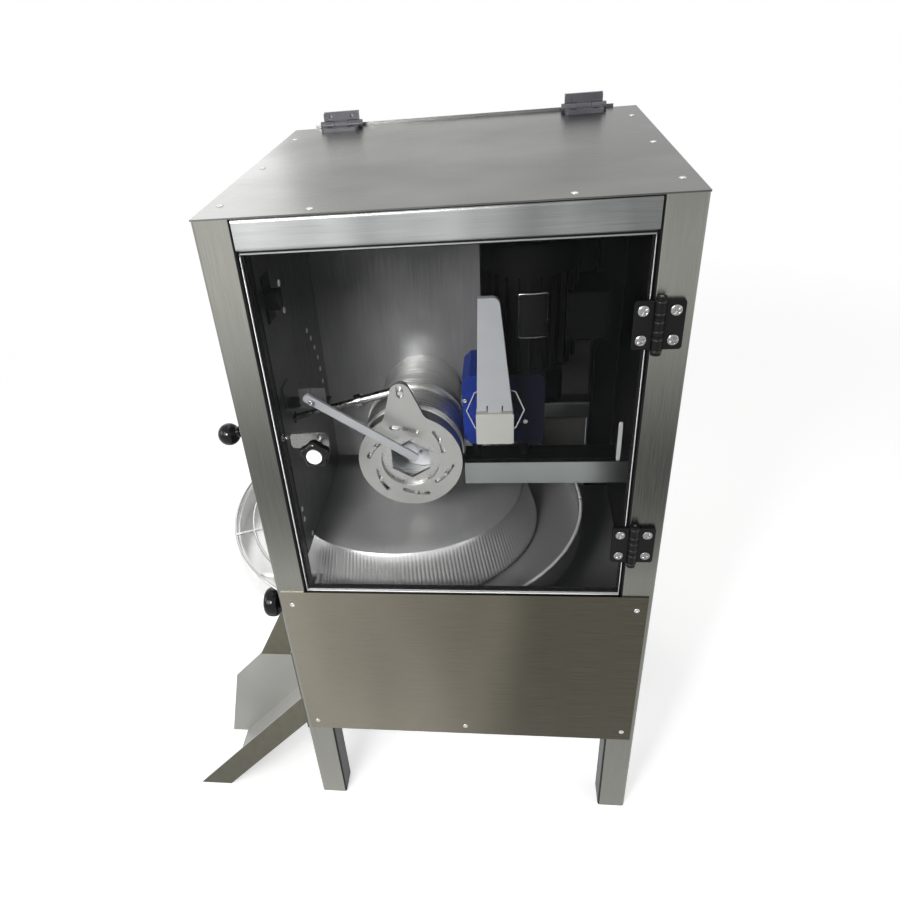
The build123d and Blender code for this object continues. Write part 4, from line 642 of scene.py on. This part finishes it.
# Painted highlight: pale strips on the pane's rim along the foot and up both sides.
PAINTED_EDGE_HIGHLIGHT = moulded("edge_bright", (0.6, 0.61, 0.61), (0.75, 0.76, 0.76), 0.15)
pane_half = [(high - low) / 2 for low, high in zip(pane_low, pane_high)]
pane_front = pane_low[1] + PANE_BEVEL / 4
foot_place = (pane_middle[0], pane_front, pane_low[2] + PANE_BEVEL)
highlight_strips = [plate(pane_half[0], PANE_BEVEL, PANE_BEVEL / 2, foot_place, RIGHT, UP)]
for x in (pane_low[0] + PANE_BEVEL / 2, pane_high[0] - PANE_BEVEL / 2):
    highlight_strips.append(plate(PANE_BEVEL / 2, pane_half[2] - 2 * PANE_BEVEL, PANE_BEVEL / 2,
                        (x, pane_front, pane_middle[2]), RIGHT, UP))
add_piece("pane_bevel", joined(highlight_strips), PAINTED_EDGE_HIGHLIGHT, "door")
add_piece("door_magnet", plate(*MAGNET_HALF, MAGNET_THICK, magnet_place, (-1, 0, 0), UP),
          MAGNET_GREY, "door")


# Hinge screws: pan heads with a cross recess, two in each leaf, through the nylon into the post,
# the pane, the top sheet or the hatch. They are bright on the door hinges and dark on the top
# hinges, where those in the top sheet sit deeper, so that the hatch's leaf folds over them.
SCREW_RADIUS = 0.0068
SCREW_RISE = 0.0026
SCREW_FALL = 0.85
SCREW_SEAT = 0.0005
SCREW_RINGS = 16
SCREW_SIDES = 48
SCREW_FIRST_TURN = 0.4
SCREW_NEXT_TURN = 0.7
SCREW_SPACING = 0.038
SCREW_FROM_BARREL = 0.0189
SCREW_SINK = 0.001
TOP_SCREW_SINK = 0.0022
HINGE_HALF = 0.0372
TAB_SHEET = 0.002
TAB_SCREW_SHARE = 0.63
CROSS_HALF = 0.0013
CROSS_REACH = 0.0046
CROSS_DEPTH = 0.0019


def cross_screw(place, axis, turn):
    """A dome over a disc of radius and angle, lowered where it lies inside either arm of the
    cross, on a straight rim."""
    share = np.linspace(0.0, 1.0, SCREW_RINGS)[:, None]
    angle = np.linspace(0.0, 2 * np.pi, SCREW_SIDES, endpoint=False)
    x, y = SCREW_RADIUS * share * np.cos(angle), SCREW_RADIUS * share * np.sin(angle)
    arms = np.minimum(np.abs(x), np.abs(y)) < CROSS_HALF
    sunk = arms & (np.maximum(np.abs(x), np.abs(y)) < CROSS_REACH)
    height = SCREW_RISE * np.sqrt(1.0 - SCREW_FALL * share ** 2) - CROSS_DEPTH * sunk
    first, second, along = frame_of(axis)
    one = first * math.cos(turn) + second * math.sin(turn)
    two = second * math.cos(turn) - first * math.sin(turn)
    top = x[..., None] * one + y[..., None] * two + height[..., None] * along + np.array(place)
    rim_top = SCREW_RISE * math.sqrt(1.0 - SCREW_FALL)
    rim = revolved([SCREW_RADIUS, SCREW_RADIUS, 0.0], [rim_top, -SCREW_SEAT, -SCREW_SEAT],
                   place, axis, SCREW_SIDES)
    return joined([(top.reshape(-1, 3), grid_faces(SCREW_RINGS, SCREW_SIDES)), rim])


def screws_on(places, axis, name, body, steel):
    """Screws at the given places, each turned a little further than the last."""
    made = [cross_screw(place, axis, SCREW_FIRST_TURN + SCREW_NEXT_TURN * order)
            for order, place in enumerate(places)]
    add_piece(name, joined(made), steel, body)


def leaf_pairs(low, high):
    """Where the screws of two hinges lie, a pair about the middle of the hinge at each end."""
    return [middle + side * SCREW_SPACING / 2
            for middle in (low + HINGE_HALF, high - HINGE_HALF) for side in (-1, 1)]


SCREW_STEEL = brushed_steel("screw_steel", (0.2, 0.2, 0.2), (0.42, 0.42, 0.41), STROKE_FINE, 0.3)
SCREW_DARK = brushed_steel("screw_dark", (0.02, 0.02, 0.02), (0.05, 0.05, 0.05), STROKE_FINE, 0.4)
joint_of = {joint["name"]: joint for joint in frame["joints"]}
door_axis = joint_of["door_hinge"]["pos_m"]
leaf_low, leaf_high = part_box("door_hinge_fixed")
leaf_face = door_axis[1] + SCREW_SINK
screw_rows = leaf_pairs(leaf_low[2], leaf_high[2])
screws_on([(door_axis[0] + SCREW_FROM_BARREL, leaf_face, z) for z in screw_rows], FRONT,
          "post_hinge_screws", "cabinet", SCREW_STEEL)
screws_on([(door_axis[0] - SCREW_FROM_BARREL, leaf_face, z) for z in screw_rows], FRONT,
          "pane_hinge_screws", "door", SCREW_STEEL)
hatch_axis = joint_of["hatch_hinge"]["pos_m"]
hatch_low, hatch_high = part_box("hatch_hinge_fixed")
screw_columns = leaf_pairs(hatch_low[0], hatch_high[0])
top_row = (hatch_axis[1] - SCREW_FROM_BARREL, hatch_axis[2] - TOP_SCREW_SINK)
screws_on([(x, *top_row) for x in screw_columns], UP, "top_hinge_screws", "cabinet", SCREW_DARK)
tab_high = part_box("hatch_hinge_moving")[1]
tab_level = hatch_axis[2] + TAB_SCREW_SHARE * (tab_high[2] - hatch_axis[2])
screws_on([(x, tab_high[1] + TAB_SHEET, tab_level) for x in screw_columns], (0, 1, 0),
          "hatch_hinge_screws", "hatch", SCREW_DARK)


# Hinge ribs: raised nylon rings round the knuckles of the door's hinges, moulded with them. The
# outer knuckles are the post's and the middle one is the door's, and each ring rides with its own.
BARREL_RADIUS = 0.0065
BARREL_LENGTH = 0.075
RIB_RISE = 0.0007
RIB_HALF = 0.0013
RIB_SIDES = 48
RIB_SHARES = {"cabinet": (-0.42, -0.22, 0.22, 0.42), "door": (-0.08, 0.08)}
RIB_NYLON = moulded("rib_nylon", (0.004, 0.004, 0.0044), (0.01, 0.01, 0.0107), 0.3, gloss=0.35)
barrel_middles = (leaf_low[2] + BARREL_LENGTH / 2, leaf_high[2] - BARREL_LENGTH / 2)
rib_radius = BARREL_RADIUS + RIB_RISE * np.array([-1, 0, 1, 1, 0, -1, -1])
rib_height = RIB_HALF * np.array([-1, -1, -0.5, 0.5, 1, 1, -1])
for body, shares in RIB_SHARES.items():
    levels = [middle + share * BARREL_LENGTH for middle in barrel_middles for share in shares]
    ribs = [revolved(rib_radius, rib_height, (door_axis[0], door_axis[1], level), UP, RIB_SIDES)
            for level in levels]
    add_piece(f"{body}_hinge_ribs", joined(ribs), RIB_NYLON, body)


# Knobs: polished black phenolic. The door has a star with five soft lobes round a white cap, the
# adjusting rod a ball, and the post a fat round button that is drawn in at its stem. The star's
# profile gives the radius, the height and the share of the lobes from the cap to the back.
ROD_BRIGHT = 0.08
STAR_LOBES = 5
STAR_SIDES = 100
STAR_WAIST = 0.17
STAR_STEM = 0.009
STAR_PROFILE = (
    (0.0, 0.0, 0.0), (0.0112, 0.0, 0.0), (0.0118, 0.002, 0.1), (0.0135, 0.0029, 0.4),
    (0.0165, 0.0026, 0.8), (0.0195, 0.0013, 1.0), (0.0214, -0.0012, 1.0), (0.0224, -0.0045, 1.0),
    (0.0224, -0.0078, 1.0), (0.0214, -0.0102, 1.0), (0.0192, -0.0117, 1.0), (0.0150, -0.0124, 0.7),
    (0.0105, -0.0128, 0.2), (0.0092, -0.0138, 0.0),
)
KNOB_BLACK = moulded(
    "knob_black", (0.002, 0.002, 0.0023), (0.005, 0.005, 0.0053), 0.1, relief=0.000004, gloss=0.25)
CAP_WHITE = moulded("cap_white", (0.7, 0.7, 0.685), (0.78, 0.78, 0.765), 0.5, gloss=0.15)
star_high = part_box("star_knob")[1]
cap_low, cap_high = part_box("star_knob_cap")
cap_middle = middle_of(cap_low, cap_high)
star_seat = (cap_middle[0], cap_high[1], cap_middle[2])
star_back = cap_high[1] - star_high[1]
star_stem = ((STAR_STEM, star_back, 0.0), (0.0, star_back, 0.0))
star_radius, star_height, star_share = np.array(STAR_PROFILE + star_stem).T


def star_lobes(angle):
    """The radius falls by a share of the waist between the lobes, by a cosine of five times the
    angle."""
    between = 0.5 - 0.5 * np.cos(STAR_LOBES * (angle - np.pi / 2))
    return 1.0 - STAR_WAIST * star_share[:, None] * between


star_surface = revolved(star_radius, star_height, star_seat, FRONT, STAR_SIDES, star_lobes)
star_grip = add_piece("star_grip", star_surface, KNOB_BLACK, "latch")
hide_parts("star_knob")
dress(KNOB_BLACK, "ball_knob", "hand_knob", "speed_dial")
dress(CAP_WHITE, "star_knob_cap")
rod_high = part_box("adjust_rod")[1]
# Painted shade: the rod is dark along most of its length and lighter over its last 8 cm to the
# right.
ROD_STEEL = brushed_steel(
    "rod_steel", (0.06, 0.06, 0.06), (0.6, 0.6, 0.59), STROKE_FINE, 0.25, shade_drift=(14.0, 0.0, 0.0),
    middle=(rod_high[0] - ROD_BRIGHT, 0.0, 0.0))
dress(RIVET_STEEL, "hatch_handle")
dress(SCREW_STEEL, "latch_tongue")
dress(ROD_STEEL, "adjust_rod", "rod_bush")


# Inner wall fittings: domed screw heads along the folded edge beside the hopper's wall, at the
# door switch and low down by the post, where the liner is held to the frame.
LINER_SCREWS = (
    (0.207, 0.307), (0.224, 0.286), (0.238, 0.263), (0.25, 0.239), (0.254, 0.215), (0.258, 0.189),
    (0.011, 0.084), (0.013, 0.062), (0.04, 0.012),
)
SWITCH_SCREWS = ((0.037, 0.448), (0.0395, 0.4085))
liner_low, liner_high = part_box("left_liner")
switch_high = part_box("door_switch")[1]


def wall_rivets(places, x):
    """Rivets on the left wall, at distances from its lower front corner."""
    return [rivet((x, liner_low[1] + along, liner_low[2] + rise), RIGHT) for along, rise in places]


HEAD_BRIGHT = brushed_steel(
    "head_bright", (0.75, 0.75, 0.75), (0.92, 0.92, 0.92), STROKE_FINE, 0.3, metallic=0.1)
wall_heads = wall_rivets(LINER_SCREWS, liner_high[0]) + wall_rivets(SWITCH_SCREWS, switch_high[0])
add_piece("liner_screws", joined(wall_heads), HEAD_BRIGHT, "cabinet")


# Divider head: an aluminium ring, body and drum turned on a lathe, satin with fine rings, and
# six polished steel leaves that slide between the ring and the body.
RING_PITCH = 900.0
LATHE_SWING = 0.13
LATHE_RELIEF = 0.000012
LATHE_METALLIC = 0.8
ROUND_UP = (1.0, 1.0, 0.0)
ROUND_DEPTH = (1.0, 0.0, 1.0)
ALONG_DEPTH = (0.05, 1.0, 0.05)


def make_lathe_rings():
    """Rings of a turned face: noise on the distance from an axis through the centre, and soft
    clouds."""
    tree, given, leave, place = new_group(
        "lathe_rings", {"Centre": ZEROS, "Across": ROUND_UP, "Pitch": RING_PITCH},
        ("Rings", "Cloud"))
    offset = vector_maths(tree, "SUBTRACT", place, given["Centre"])
    across = vector_maths(tree, "MULTIPLY", offset, given["Across"])
    distance = vector_maths(tree, "LENGTH", across, output="Value")
    rings = tree.nodes.new("ShaderNodeTexNoise")
    rings.noise_dimensions = "1D"
    fill(tree, rings, W=maths(tree, "MULTIPLY", distance, given["Pitch"]), Scale=1.0, Detail=3.0)
    cloud = add_node(tree, "ShaderNodeTexNoise", Vector=place, Scale=9.0, Detail=2.0)
    fill(tree, leave, Rings=rings.outputs["Fac"], Cloud=cloud.outputs["Fac"])
    return tree


LATHE_RINGS = make_lathe_rings()


def turned_metal(name, dark, bright, rough, centre, across, pitch=RING_PITCH, share=0.45):
    """Metal turned on a lathe: colour, gloss and relief follow rings round the centre, which
    have a share of the change in tone."""
    look, tree, shader = new_material(name, Metallic=LATHE_METALLIC)
    made = use_group(tree, LATHE_RINGS, Centre=centre, Across=across, Pitch=pitch)
    blend = two_scales(tree, made["Rings"], made["Cloud"], share)
    grained(tree, shader, (dark, bright), blend, rough, LATHE_SWING * share, made["Rings"],
            LATHE_RELIEF, made["Rings"])
    return look


head_axis = joint_of["ring_turn"]["pos_m"]
HEAD_METAL = turned_metal(
    "head_metal", (0.33, 0.33, 0.315), (0.43, 0.43, 0.415), 0.36, head_axis, ROUND_DEPTH)
# Painted light: the drum is painted much paler than the ring and the body, of the same aluminium.
DRUM_METAL = turned_metal(
    "drum_metal", (0.7, 0.7, 0.68), (0.88, 0.88, 0.86), 0.3, head_axis, ALONG_DEPTH, 300.0,
    share=0.25)
LEAF_METAL = brushed_steel(
    "leaf_metal", (0.36, 0.36, 0.35), (0.52, 0.52, 0.51), (150.0, 150.0, 150.0), 0.3)
dress(HEAD_METAL, "cam_ring", "nozzle_body")
dress(DRUM_METAL, "auger_barrel")
dress(LEAF_METAL, *[f"iris_leaf_{n}" for n in range(1, 7)])


# Knife: a light grey moulded arm keyed into a cream block on the gear unit's shaft, and the
# translucent strip that strokes dough off the nozzle, bolted to a small bracket on the liner.
# The auger seen through the leaves is a light plastic too.
BOLT_PROFILE = (
    (0.0, 0.0036), (0.0022, 0.0036), (0.0022, 0.0058), (0.0044, 0.0058), (0.005, 0.0052),
    (0.005, -0.0005), (0.0, -0.0005),
)
BOLT_SIDES = 32
STRIP_ALPHA = 0.8
STRIP_BOLT_INSET = 0.012
STRIP_BOLT_SCALE = 0.8


def socket_bolt(place, axis, scale):
    """A cap screw: a turned head with a round recess, from the recess's floor out to the head's
    foot."""
    radius, height = np.array(BOLT_PROFILE).T * scale
    return revolved(radius, height, place, axis, BOLT_SIDES)


ARM_GREY = moulded("arm_grey", (0.3, 0.31, 0.32), (0.35, 0.36, 0.37), 0.5, gloss=0.3)
AUGER_GREY = moulded("auger_grey", (0.46, 0.475, 0.5), (0.54, 0.555, 0.58), 0.5)
HUB_CREAM = moulded("hub_cream", (0.35, 0.35, 0.325), (0.41, 0.41, 0.38), 0.5, gloss=0.3)
STRIP_CLEAR = moulded("strip_clear", (0.3, 0.305, 0.32), (0.4, 0.405, 0.42), 0.3, gloss=0.3)
STRIP_CLEAR.node_tree.nodes["Principled BSDF"].inputs["Alpha"].default_value = STRIP_ALPHA
dress(ARM_GREY, "knife_arm")
dress(AUGER_GREY, "auger")
dress(HUB_CREAM, "knife_hub")
dress(STRIP_CLEAR, "stripper_bar")
strip_low, strip_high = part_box("stripper_bar")
strip_bolt = (strip_low[0] + STRIP_BOLT_INSET, strip_low[1], strip_high[2] - STRIP_BOLT_INSET)
add_piece("strip_bolt", socket_bolt(strip_bolt, FRONT, STRIP_BOLT_SCALE), RIVET_STEEL, "cabinet")


# Drives: a blue worm gear unit, painted lighter at its left end and darker to the right as shade,
# with a machined eight-sided rim and cap screws round its output, and black finned motors, sprayed
# over rough castings. The knife's motor carries a bare plate.
CASE_SHADE = (0.55, -1.2)
CASE_HALF_DEPTH = 0.046
CASE_RECESS = 0.002
CASE_BOLT_RADIUS = 0.05
CASE_BOLT_SCALE = 0.7
CASE_BOLT_DEGREES = (67.5, 157.5, 247.5, 337.5)
RIM_SIDES = 8
RIM_RADIUS = 0.045
RIM_WALL = 0.0016
RIM_RISE = 0.0028
PLATE_HALF = (0.0205, 0.0325)
PLATE_THICK = 0.0008
PLATE_FACE_SCALE = 1.6
PLATE_BORDER = 0.0009
PLATE_CORNER = 0.08
PLATE_ASIDE = 0.0045
PLATE_LEVEL = 0.0925
GEAR_BLUE = moulded(
    "gear_blue", (0.002, 0.0025, 0.009), (0.012, 0.03, 0.2), 0.4, relief=0.00012, size=300.0,
    gloss=0.08)
MOTOR_BLACK = moulded(
    "motor_black", (0.001, 0.001, 0.0012), (0.003, 0.003, 0.0034), 0.55, relief=0.0001, size=350.0,
    gloss=0.05)
PLATE_BARE = moulded("plate_bare", (0.002, 0.002, 0.002), (0.006, 0.006, 0.006), 0.5, gloss=0.08)
dress(GEAR_BLUE, "knife_gearbox")
dress(MOTOR_BLACK, "knife_motor", "auger_drive", "rounder_drive", "gearbox_stand")

knife_axis = joint_of["knife_spin"]["pos_m"]
case_low, case_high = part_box("knife_gearbox")
blue_tree = GEAR_BLUE.node_tree
blue_mix, blue_blend = tone_mix(GEAR_BLUE)
# Painted shade across the gear case: lighter at its left end, darker at its right.
case_ends = (case_low[0], case_high[0])
case_shade = ranged(blue_tree, along_axis(blue_tree, "Object", "X"), *CASE_SHADE, *case_ends)
fill(blue_tree, blue_mix, Factor=maths(blue_tree, "ADD", case_shade, blue_blend))
case_face = (case_low[1] + case_high[1]) / 2 - CASE_HALF_DEPTH
rim_place = (knife_axis[0], case_face + CASE_RECESS, knife_axis[2])
rim_inner = RIM_RADIUS - RIM_WALL
rim = revolved([RIM_RADIUS, RIM_RADIUS, rim_inner, rim_inner, RIM_RADIUS],
               [0.0, RIM_RISE, RIM_RISE, 0.0, 0.0], rim_place, FRONT, RIM_SIDES)
add_piece("gearbox_rim", rim, RIVET_STEEL, "cabinet", smooth=False)
case_bolts = []
for turn in np.radians(CASE_BOLT_DEGREES):
    bolt_place = (knife_axis[0] + CASE_BOLT_RADIUS * math.cos(turn), case_face,
                  knife_axis[2] + CASE_BOLT_RADIUS * math.sin(turn))
    case_bolts.append(socket_bolt(bolt_place, FRONT, CASE_BOLT_SCALE))
add_piece("gearbox_bolts", joined(case_bolts), RIVET_STEEL, "cabinet")

motor_low, motor_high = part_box("knife_motor")
motor_radius = (motor_high[1] - motor_low[1]) / 2
motor_middle = (motor_low[0] + motor_radius, (motor_low[1] + motor_high[1]) / 2)
plate_turn = PLATE_ASIDE / motor_radius
plate_out = np.array((math.sin(plate_turn), -math.cos(plate_turn), 0.0))
plate_across = np.array((math.cos(plate_turn), math.sin(plate_turn), 0.0))
plate_place = np.array((*motor_middle, motor_low[2] + PLATE_LEVEL)) + motor_radius * plate_out
plate_wrap = (plate_place, plate_across, UP, motor_radius, PLATE_CORNER)
plate_inner = [half - PLATE_BORDER for half in PLATE_HALF]
add_piece("motor_plate_edge", plate(*PLATE_HALF, PLATE_THICK, *plate_wrap), RIVET_STEEL,
          "cabinet")
add_piece("motor_plate", plate(*plate_inner, PLATE_FACE_SCALE * PLATE_THICK, *plate_wrap),
          PLATE_BARE, "cabinet")


# Rounder: a satin aluminium cone with a fluted flank, which turns in a satin stainless bowl. The
# bowl, darker to the right with painted shade, stands out of the cabinet's left side, and a bead
# is rolled round its rim, painted near white as a highlight.
FLUTES = 216
FLUTE_SIDES = 6
FLUTE_DEPTH = 0.0013
FLUTE_RAMP = 0.35
FLANK_SPREAD = 0.028
FLANK_STEPS = 12
CROWN_RISE = 0.02
CROWN_RADIUS = 0.02
CROWN_INNER = 0.96
CROWN_STEPS = 6
RIDGE_ROUND = 0.0015
SKIRT_LEVEL = 0.493
CONE_WALL = 0.008
CONE_HUB = 0.034
CONE_SHAFT = 0.0125
BEAD_RADIUS = 0.003
BEAD_STEPS = 361
BEAD_POST_CLEAR = (0.054, 0.062)
LEAST_SLANT = 1e-6
WIRE_SIDES = 14
SATIN = (1800.0, 1800.0, 1800.0)
cone_axis = joint_of["cone_spin"]["pos_m"]
CONE_METAL = brushed_steel(
    "cone_metal", (0.64, 0.64, 0.64), (0.76, 0.765, 0.76), SATIN, 0.3, metallic=0.75)
# Painted shade: the bowl is darker to the right, inside the cabinet.
BOWL_METAL = brushed_steel(
    "bowl_metal", (0.45, 0.45, 0.447), (0.8, 0.8, 0.795), SATIN, 0.34, metallic=0.65,
    shade_drift=(-1.2, 0.0, 0.0), middle=cone_axis)
# Painted highlight: the bead is painted near white and hardly metallic.
BEAD_METAL = brushed_steel(
    "bead_metal", (0.84, 0.84, 0.84), (0.92, 0.92, 0.92), SATIN, 0.3, metallic=0.2)
dress(BOWL_METAL, "rounder_bowl")
cone_low, cone_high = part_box("rounding_cone")
skirt_radius = (cone_high[0] - cone_low[0]) / 2
ridge_radius, ridge_level = skirt_radius - FLANK_SPREAD, cone_high[2] - CROWN_RISE
flank_share = np.linspace(0.0, 1.0, FLANK_STEPS)
flank_radius = ridge_radius + FLANK_SPREAD * flank_share
flank_level = ridge_level + (SKIRT_LEVEL - ridge_level) * flank_share
flank_level[0] -= RIDGE_ROUND
crown_radius = np.linspace(CROWN_RADIUS, ridge_radius - RIDGE_ROUND, CROWN_STEPS)
crown_level = np.linspace(cone_high[2], ridge_level + RIDGE_ROUND / 8, CROWN_STEPS)
under_radius, under_level = np.array((
    (skirt_radius - CONE_WALL, SKIRT_LEVEL), (ridge_radius - CONE_WALL, ridge_level - CONE_WALL),
    (CONE_HUB, ridge_level - CONE_WALL), (CONE_HUB, SKIRT_LEVEL), (CONE_SHAFT, SKIRT_LEVEL),
    (CONE_SHAFT, cone_low[2]), (0.0, cone_low[2]))).T
cone_radius = np.concatenate([[0.0, CROWN_RADIUS * CROWN_INNER], crown_radius, flank_radius,
                              under_radius])
cone_level = np.concatenate([[cone_high[2]] * 2, crown_level, flank_level, under_level])
fluted = np.concatenate([np.zeros(2 + CROWN_STEPS), np.clip(flank_share / FLUTE_RAMP, 0.0, 1.0),
                         np.zeros(len(under_radius))])


def cone_flutes(angle):
    """The radius falls by the flute's depth, by a cosine of the flutes times the angle, down the
    flank only."""
    depth = FLUTE_DEPTH * fluted / np.maximum(cone_radius, FLUTE_DEPTH)
    return 1.0 - depth[:, None] * (0.5 - 0.5 * np.cos(FLUTES * angle))


cone_surface = revolved(cone_radius, cone_level, (cone_axis[0], cone_axis[1], 0.0), UP,
                        FLUTE_SIDES * FLUTES, cone_flutes)
fluted_cone = add_piece("fluted_cone", cone_surface, CONE_METAL, "cone")
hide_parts("rounding_cone")

bowl_low, bowl_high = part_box("rounder_bowl")
bead_turn = np.linspace(0.0, 2 * np.pi, BEAD_STEPS)
bead_right = bowl_high[0] - cone_axis[0]


def ray_to_box(left, front):
    """The distance along each ray from the cone's axis to a box that is as deep behind it as
    before it: the nearer of its side and its end, each divided by the ray's slant to it."""
    across, along = np.cos(bead_turn), np.sin(bead_turn)
    sides = np.where(across > 0.0, bead_right, left) / np.maximum(np.abs(across), LEAST_SLANT)
    return np.minimum(sides, front / np.maximum(np.abs(along), LEAST_SLANT))


def round_cone(reach, turn, level):
    """A level path of points at distances and angles from the cone's axis."""
    reach, turn, level = np.broadcast_arrays(reach, turn, level)
    return np.stack([cone_axis[0] + reach * np.cos(turn), cone_axis[1] + reach * np.sin(turn),
                     level], axis=1)


def wire(path, radius):
    """A round wire: a circle carried along a level path, square to it, and drawn to a point at
    both ends."""
    path = np.concatenate([path[:1], path, path[-1:]])
    along = np.gradient(path, axis=0)
    along[:2], along[-2:] = path[2] - path[1], path[-2] - path[-3]
    side = np.cross(np.array(UP, float), along)
    side /= np.linalg.norm(side, axis=1, keepdims=True)
    girth = np.full(len(path), radius)
    girth[[0, -1]] = 0.0
    angle = np.linspace(0.0, 2 * np.pi, WIRE_SIDES, endpoint=False)
    ring = np.cos(angle)[:, None] * side[:, None, :] + np.sin(angle)[:, None] * np.array(UP)
    points = path[:, None, :] + girth[:, None, None] * ring
    return points.reshape(-1, 3), grid_faces(len(path), WIRE_SIDES)


bead_wide = ray_to_box(cone_axis[0] - posts_low[0] - BEAD_POST_CLEAR[0],
                       cone_axis[1] - bowl_low[1])
bead_waist = ray_to_box(cone_axis[0] - bowl_low[0],
                        cone_axis[1] - posts_low[1] - BEAD_POST_CLEAR[1])
bead_reach = np.minimum(np.maximum(bead_wide, bead_waist), bead_right) - BEAD_RADIUS
bead_path = round_cone(bead_reach, bead_turn, bowl_high[2] - BEAD_RADIUS / 2)
add_piece("bowl_bead", wire(bead_path, BEAD_RADIUS), BEAD_METAL, "cabinet")


# Outlet: a folded stainless chute below a guard of welded bright wire, three hoops over the bowl's
# outer part with short spokes, and a flat tab at each end on the post.
WIRE_RADIUS = 0.0025
HOOPS = 3
HOOP_CLEAR = 0.012
HOOP_STEPS = 72
SPOKE_DEGREES = (138.0, 170.0, 202.0)
SPOKE_STEPS = 8
TAB_HALF = 0.007
TAB_THICK = 0.002
POST_SIDE = 0.05
CHUTE_FRONT_SHADE = ((0.11, 0.106, 0.08), (0.16, 0.155, 0.12))
CHUTE_KNEE = 0.25
STROKE_DEEP = (2400.0, 14.0, 2400.0)
CHUTE_STEEL = brushed_steel(
    "chute_sheet", (0.36, 0.36, 0.34), (0.46, 0.46, 0.44), STROKE_DEEP, 0.36, (5.0, 5.0, 5.0),
    metallic=0.15)
WIRE_STEEL = brushed_steel(
    "guard_wire", (0.42, 0.42, 0.41), (0.6, 0.6, 0.59), (200.0, 200.0, 200.0), 0.22)
# Painted shade and a painted reflection of the floor: the chute's front-facing sides, in its front
# half or above the knee, are darker and warmer.
chute_tree = CHUTE_STEEL.node_tree
chute_low, chute_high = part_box("outlet_chute")
before_middle = maths(chute_tree, "LESS_THAN", along_axis(chute_tree, "Object", "Y"),
                      (chute_low[1] + chute_high[1]) / 2)
above_knee = maths(chute_tree, "GREATER_THAN", along_axis(chute_tree, "Object", "Z"), CHUTE_KNEE)
shaded = maths(chute_tree, "MAXIMUM", before_middle, above_knee)
to_front = maths(chute_tree, "MULTIPLY", along_axis(chute_tree, "Normal", "Y"), -1.0)
turned_out = maths(chute_tree, "MULTIPLY", to_front, shaded)
dress(paint_shaded_faces(CHUTE_STEEL, turned_out, CHUTE_FRONT_SHADE), "outlet_chute")

guard_low, guard_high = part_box("outlet_guard")
guard_level = (guard_low[2] + guard_high[2]) / 2
guard_wall = guard_high[0]
wall_reach = cone_axis[0] - guard_wall
hoop_outer = cone_axis[0] - guard_low[0] - WIRE_RADIUS
hoop_inner = skirt_radius + HOOP_CLEAR
wires = []
for radius in np.linspace(hoop_inner, hoop_outer, HOOPS):
    swing = math.acos(wall_reach / radius)
    turn = np.linspace(np.pi - swing, np.pi + swing, HOOP_STEPS)
    wires.append(wire(round_cone(radius, turn, guard_level), WIRE_RADIUS))
for turn in np.radians(SPOKE_DEGREES):
    reach = np.linspace(hoop_inner, hoop_outer, SPOKE_STEPS)
    wires.append(wire(round_cone(reach, turn, guard_level + WIRE_RADIUS), WIRE_RADIUS))
half_chord = math.sqrt(hoop_outer ** 2 - wall_reach ** 2)
for end, post in ((cone_axis[1] - half_chord, posts_low[1] + POST_SIDE / 2),
                  (cone_axis[1] + half_chord, posts_high[1] - POST_SIDE / 2)):
    wires.append(plate(abs(end - post) / 2 + TAB_HALF, TAB_HALF, TAB_THICK,
                       (guard_wall, (end + post) / 2, guard_level), FRONT, UP))
guard_wires = add_piece("guard_wires", joined(wires), WIRE_STEEL, "cabinet")
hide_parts("outlet_guard")


# Controls: a powder-coated box with a green and a red button and a black dial, whose groove
# is filled with white paint up to just below the dial's face.
DIAL_GROOVE = 0.00075
DIAL_FILL = 0.8
DIAL_MARK = (0.0006, 0.006)
DIAL_MARK_RISE = 0.0068
BOX_GREY = moulded(
    "box_grey", (0.5, 0.5, 0.49), (0.58, 0.58, 0.57), 0.45, relief=0.00006, size=500.0)
START_GREEN = moulded("start_green", (0.01, 0.28, 0.05), (0.02, 0.36, 0.07), 0.25)
STOP_RED = moulded("stop_red", (0.45, 0.012, 0.012), (0.55, 0.02, 0.02), 0.25)
dress(BOX_GREY, "control_box")
dress(START_GREEN, "start_button")
dress(STOP_RED, "stop_button")
dial_axis = joint_of["speed_turn"]["pos_m"]
dial_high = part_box("speed_dial")[1]
mark_place = (dial_high[0] - DIAL_GROOVE, dial_axis[1], dial_axis[2] + DIAL_MARK_RISE)
add_piece("dial_mark", plate(*DIAL_MARK, DIAL_FILL * DIAL_GROOVE, mark_place, (0, 1, 0), UP),
          CAP_WHITE, "speed_dial")
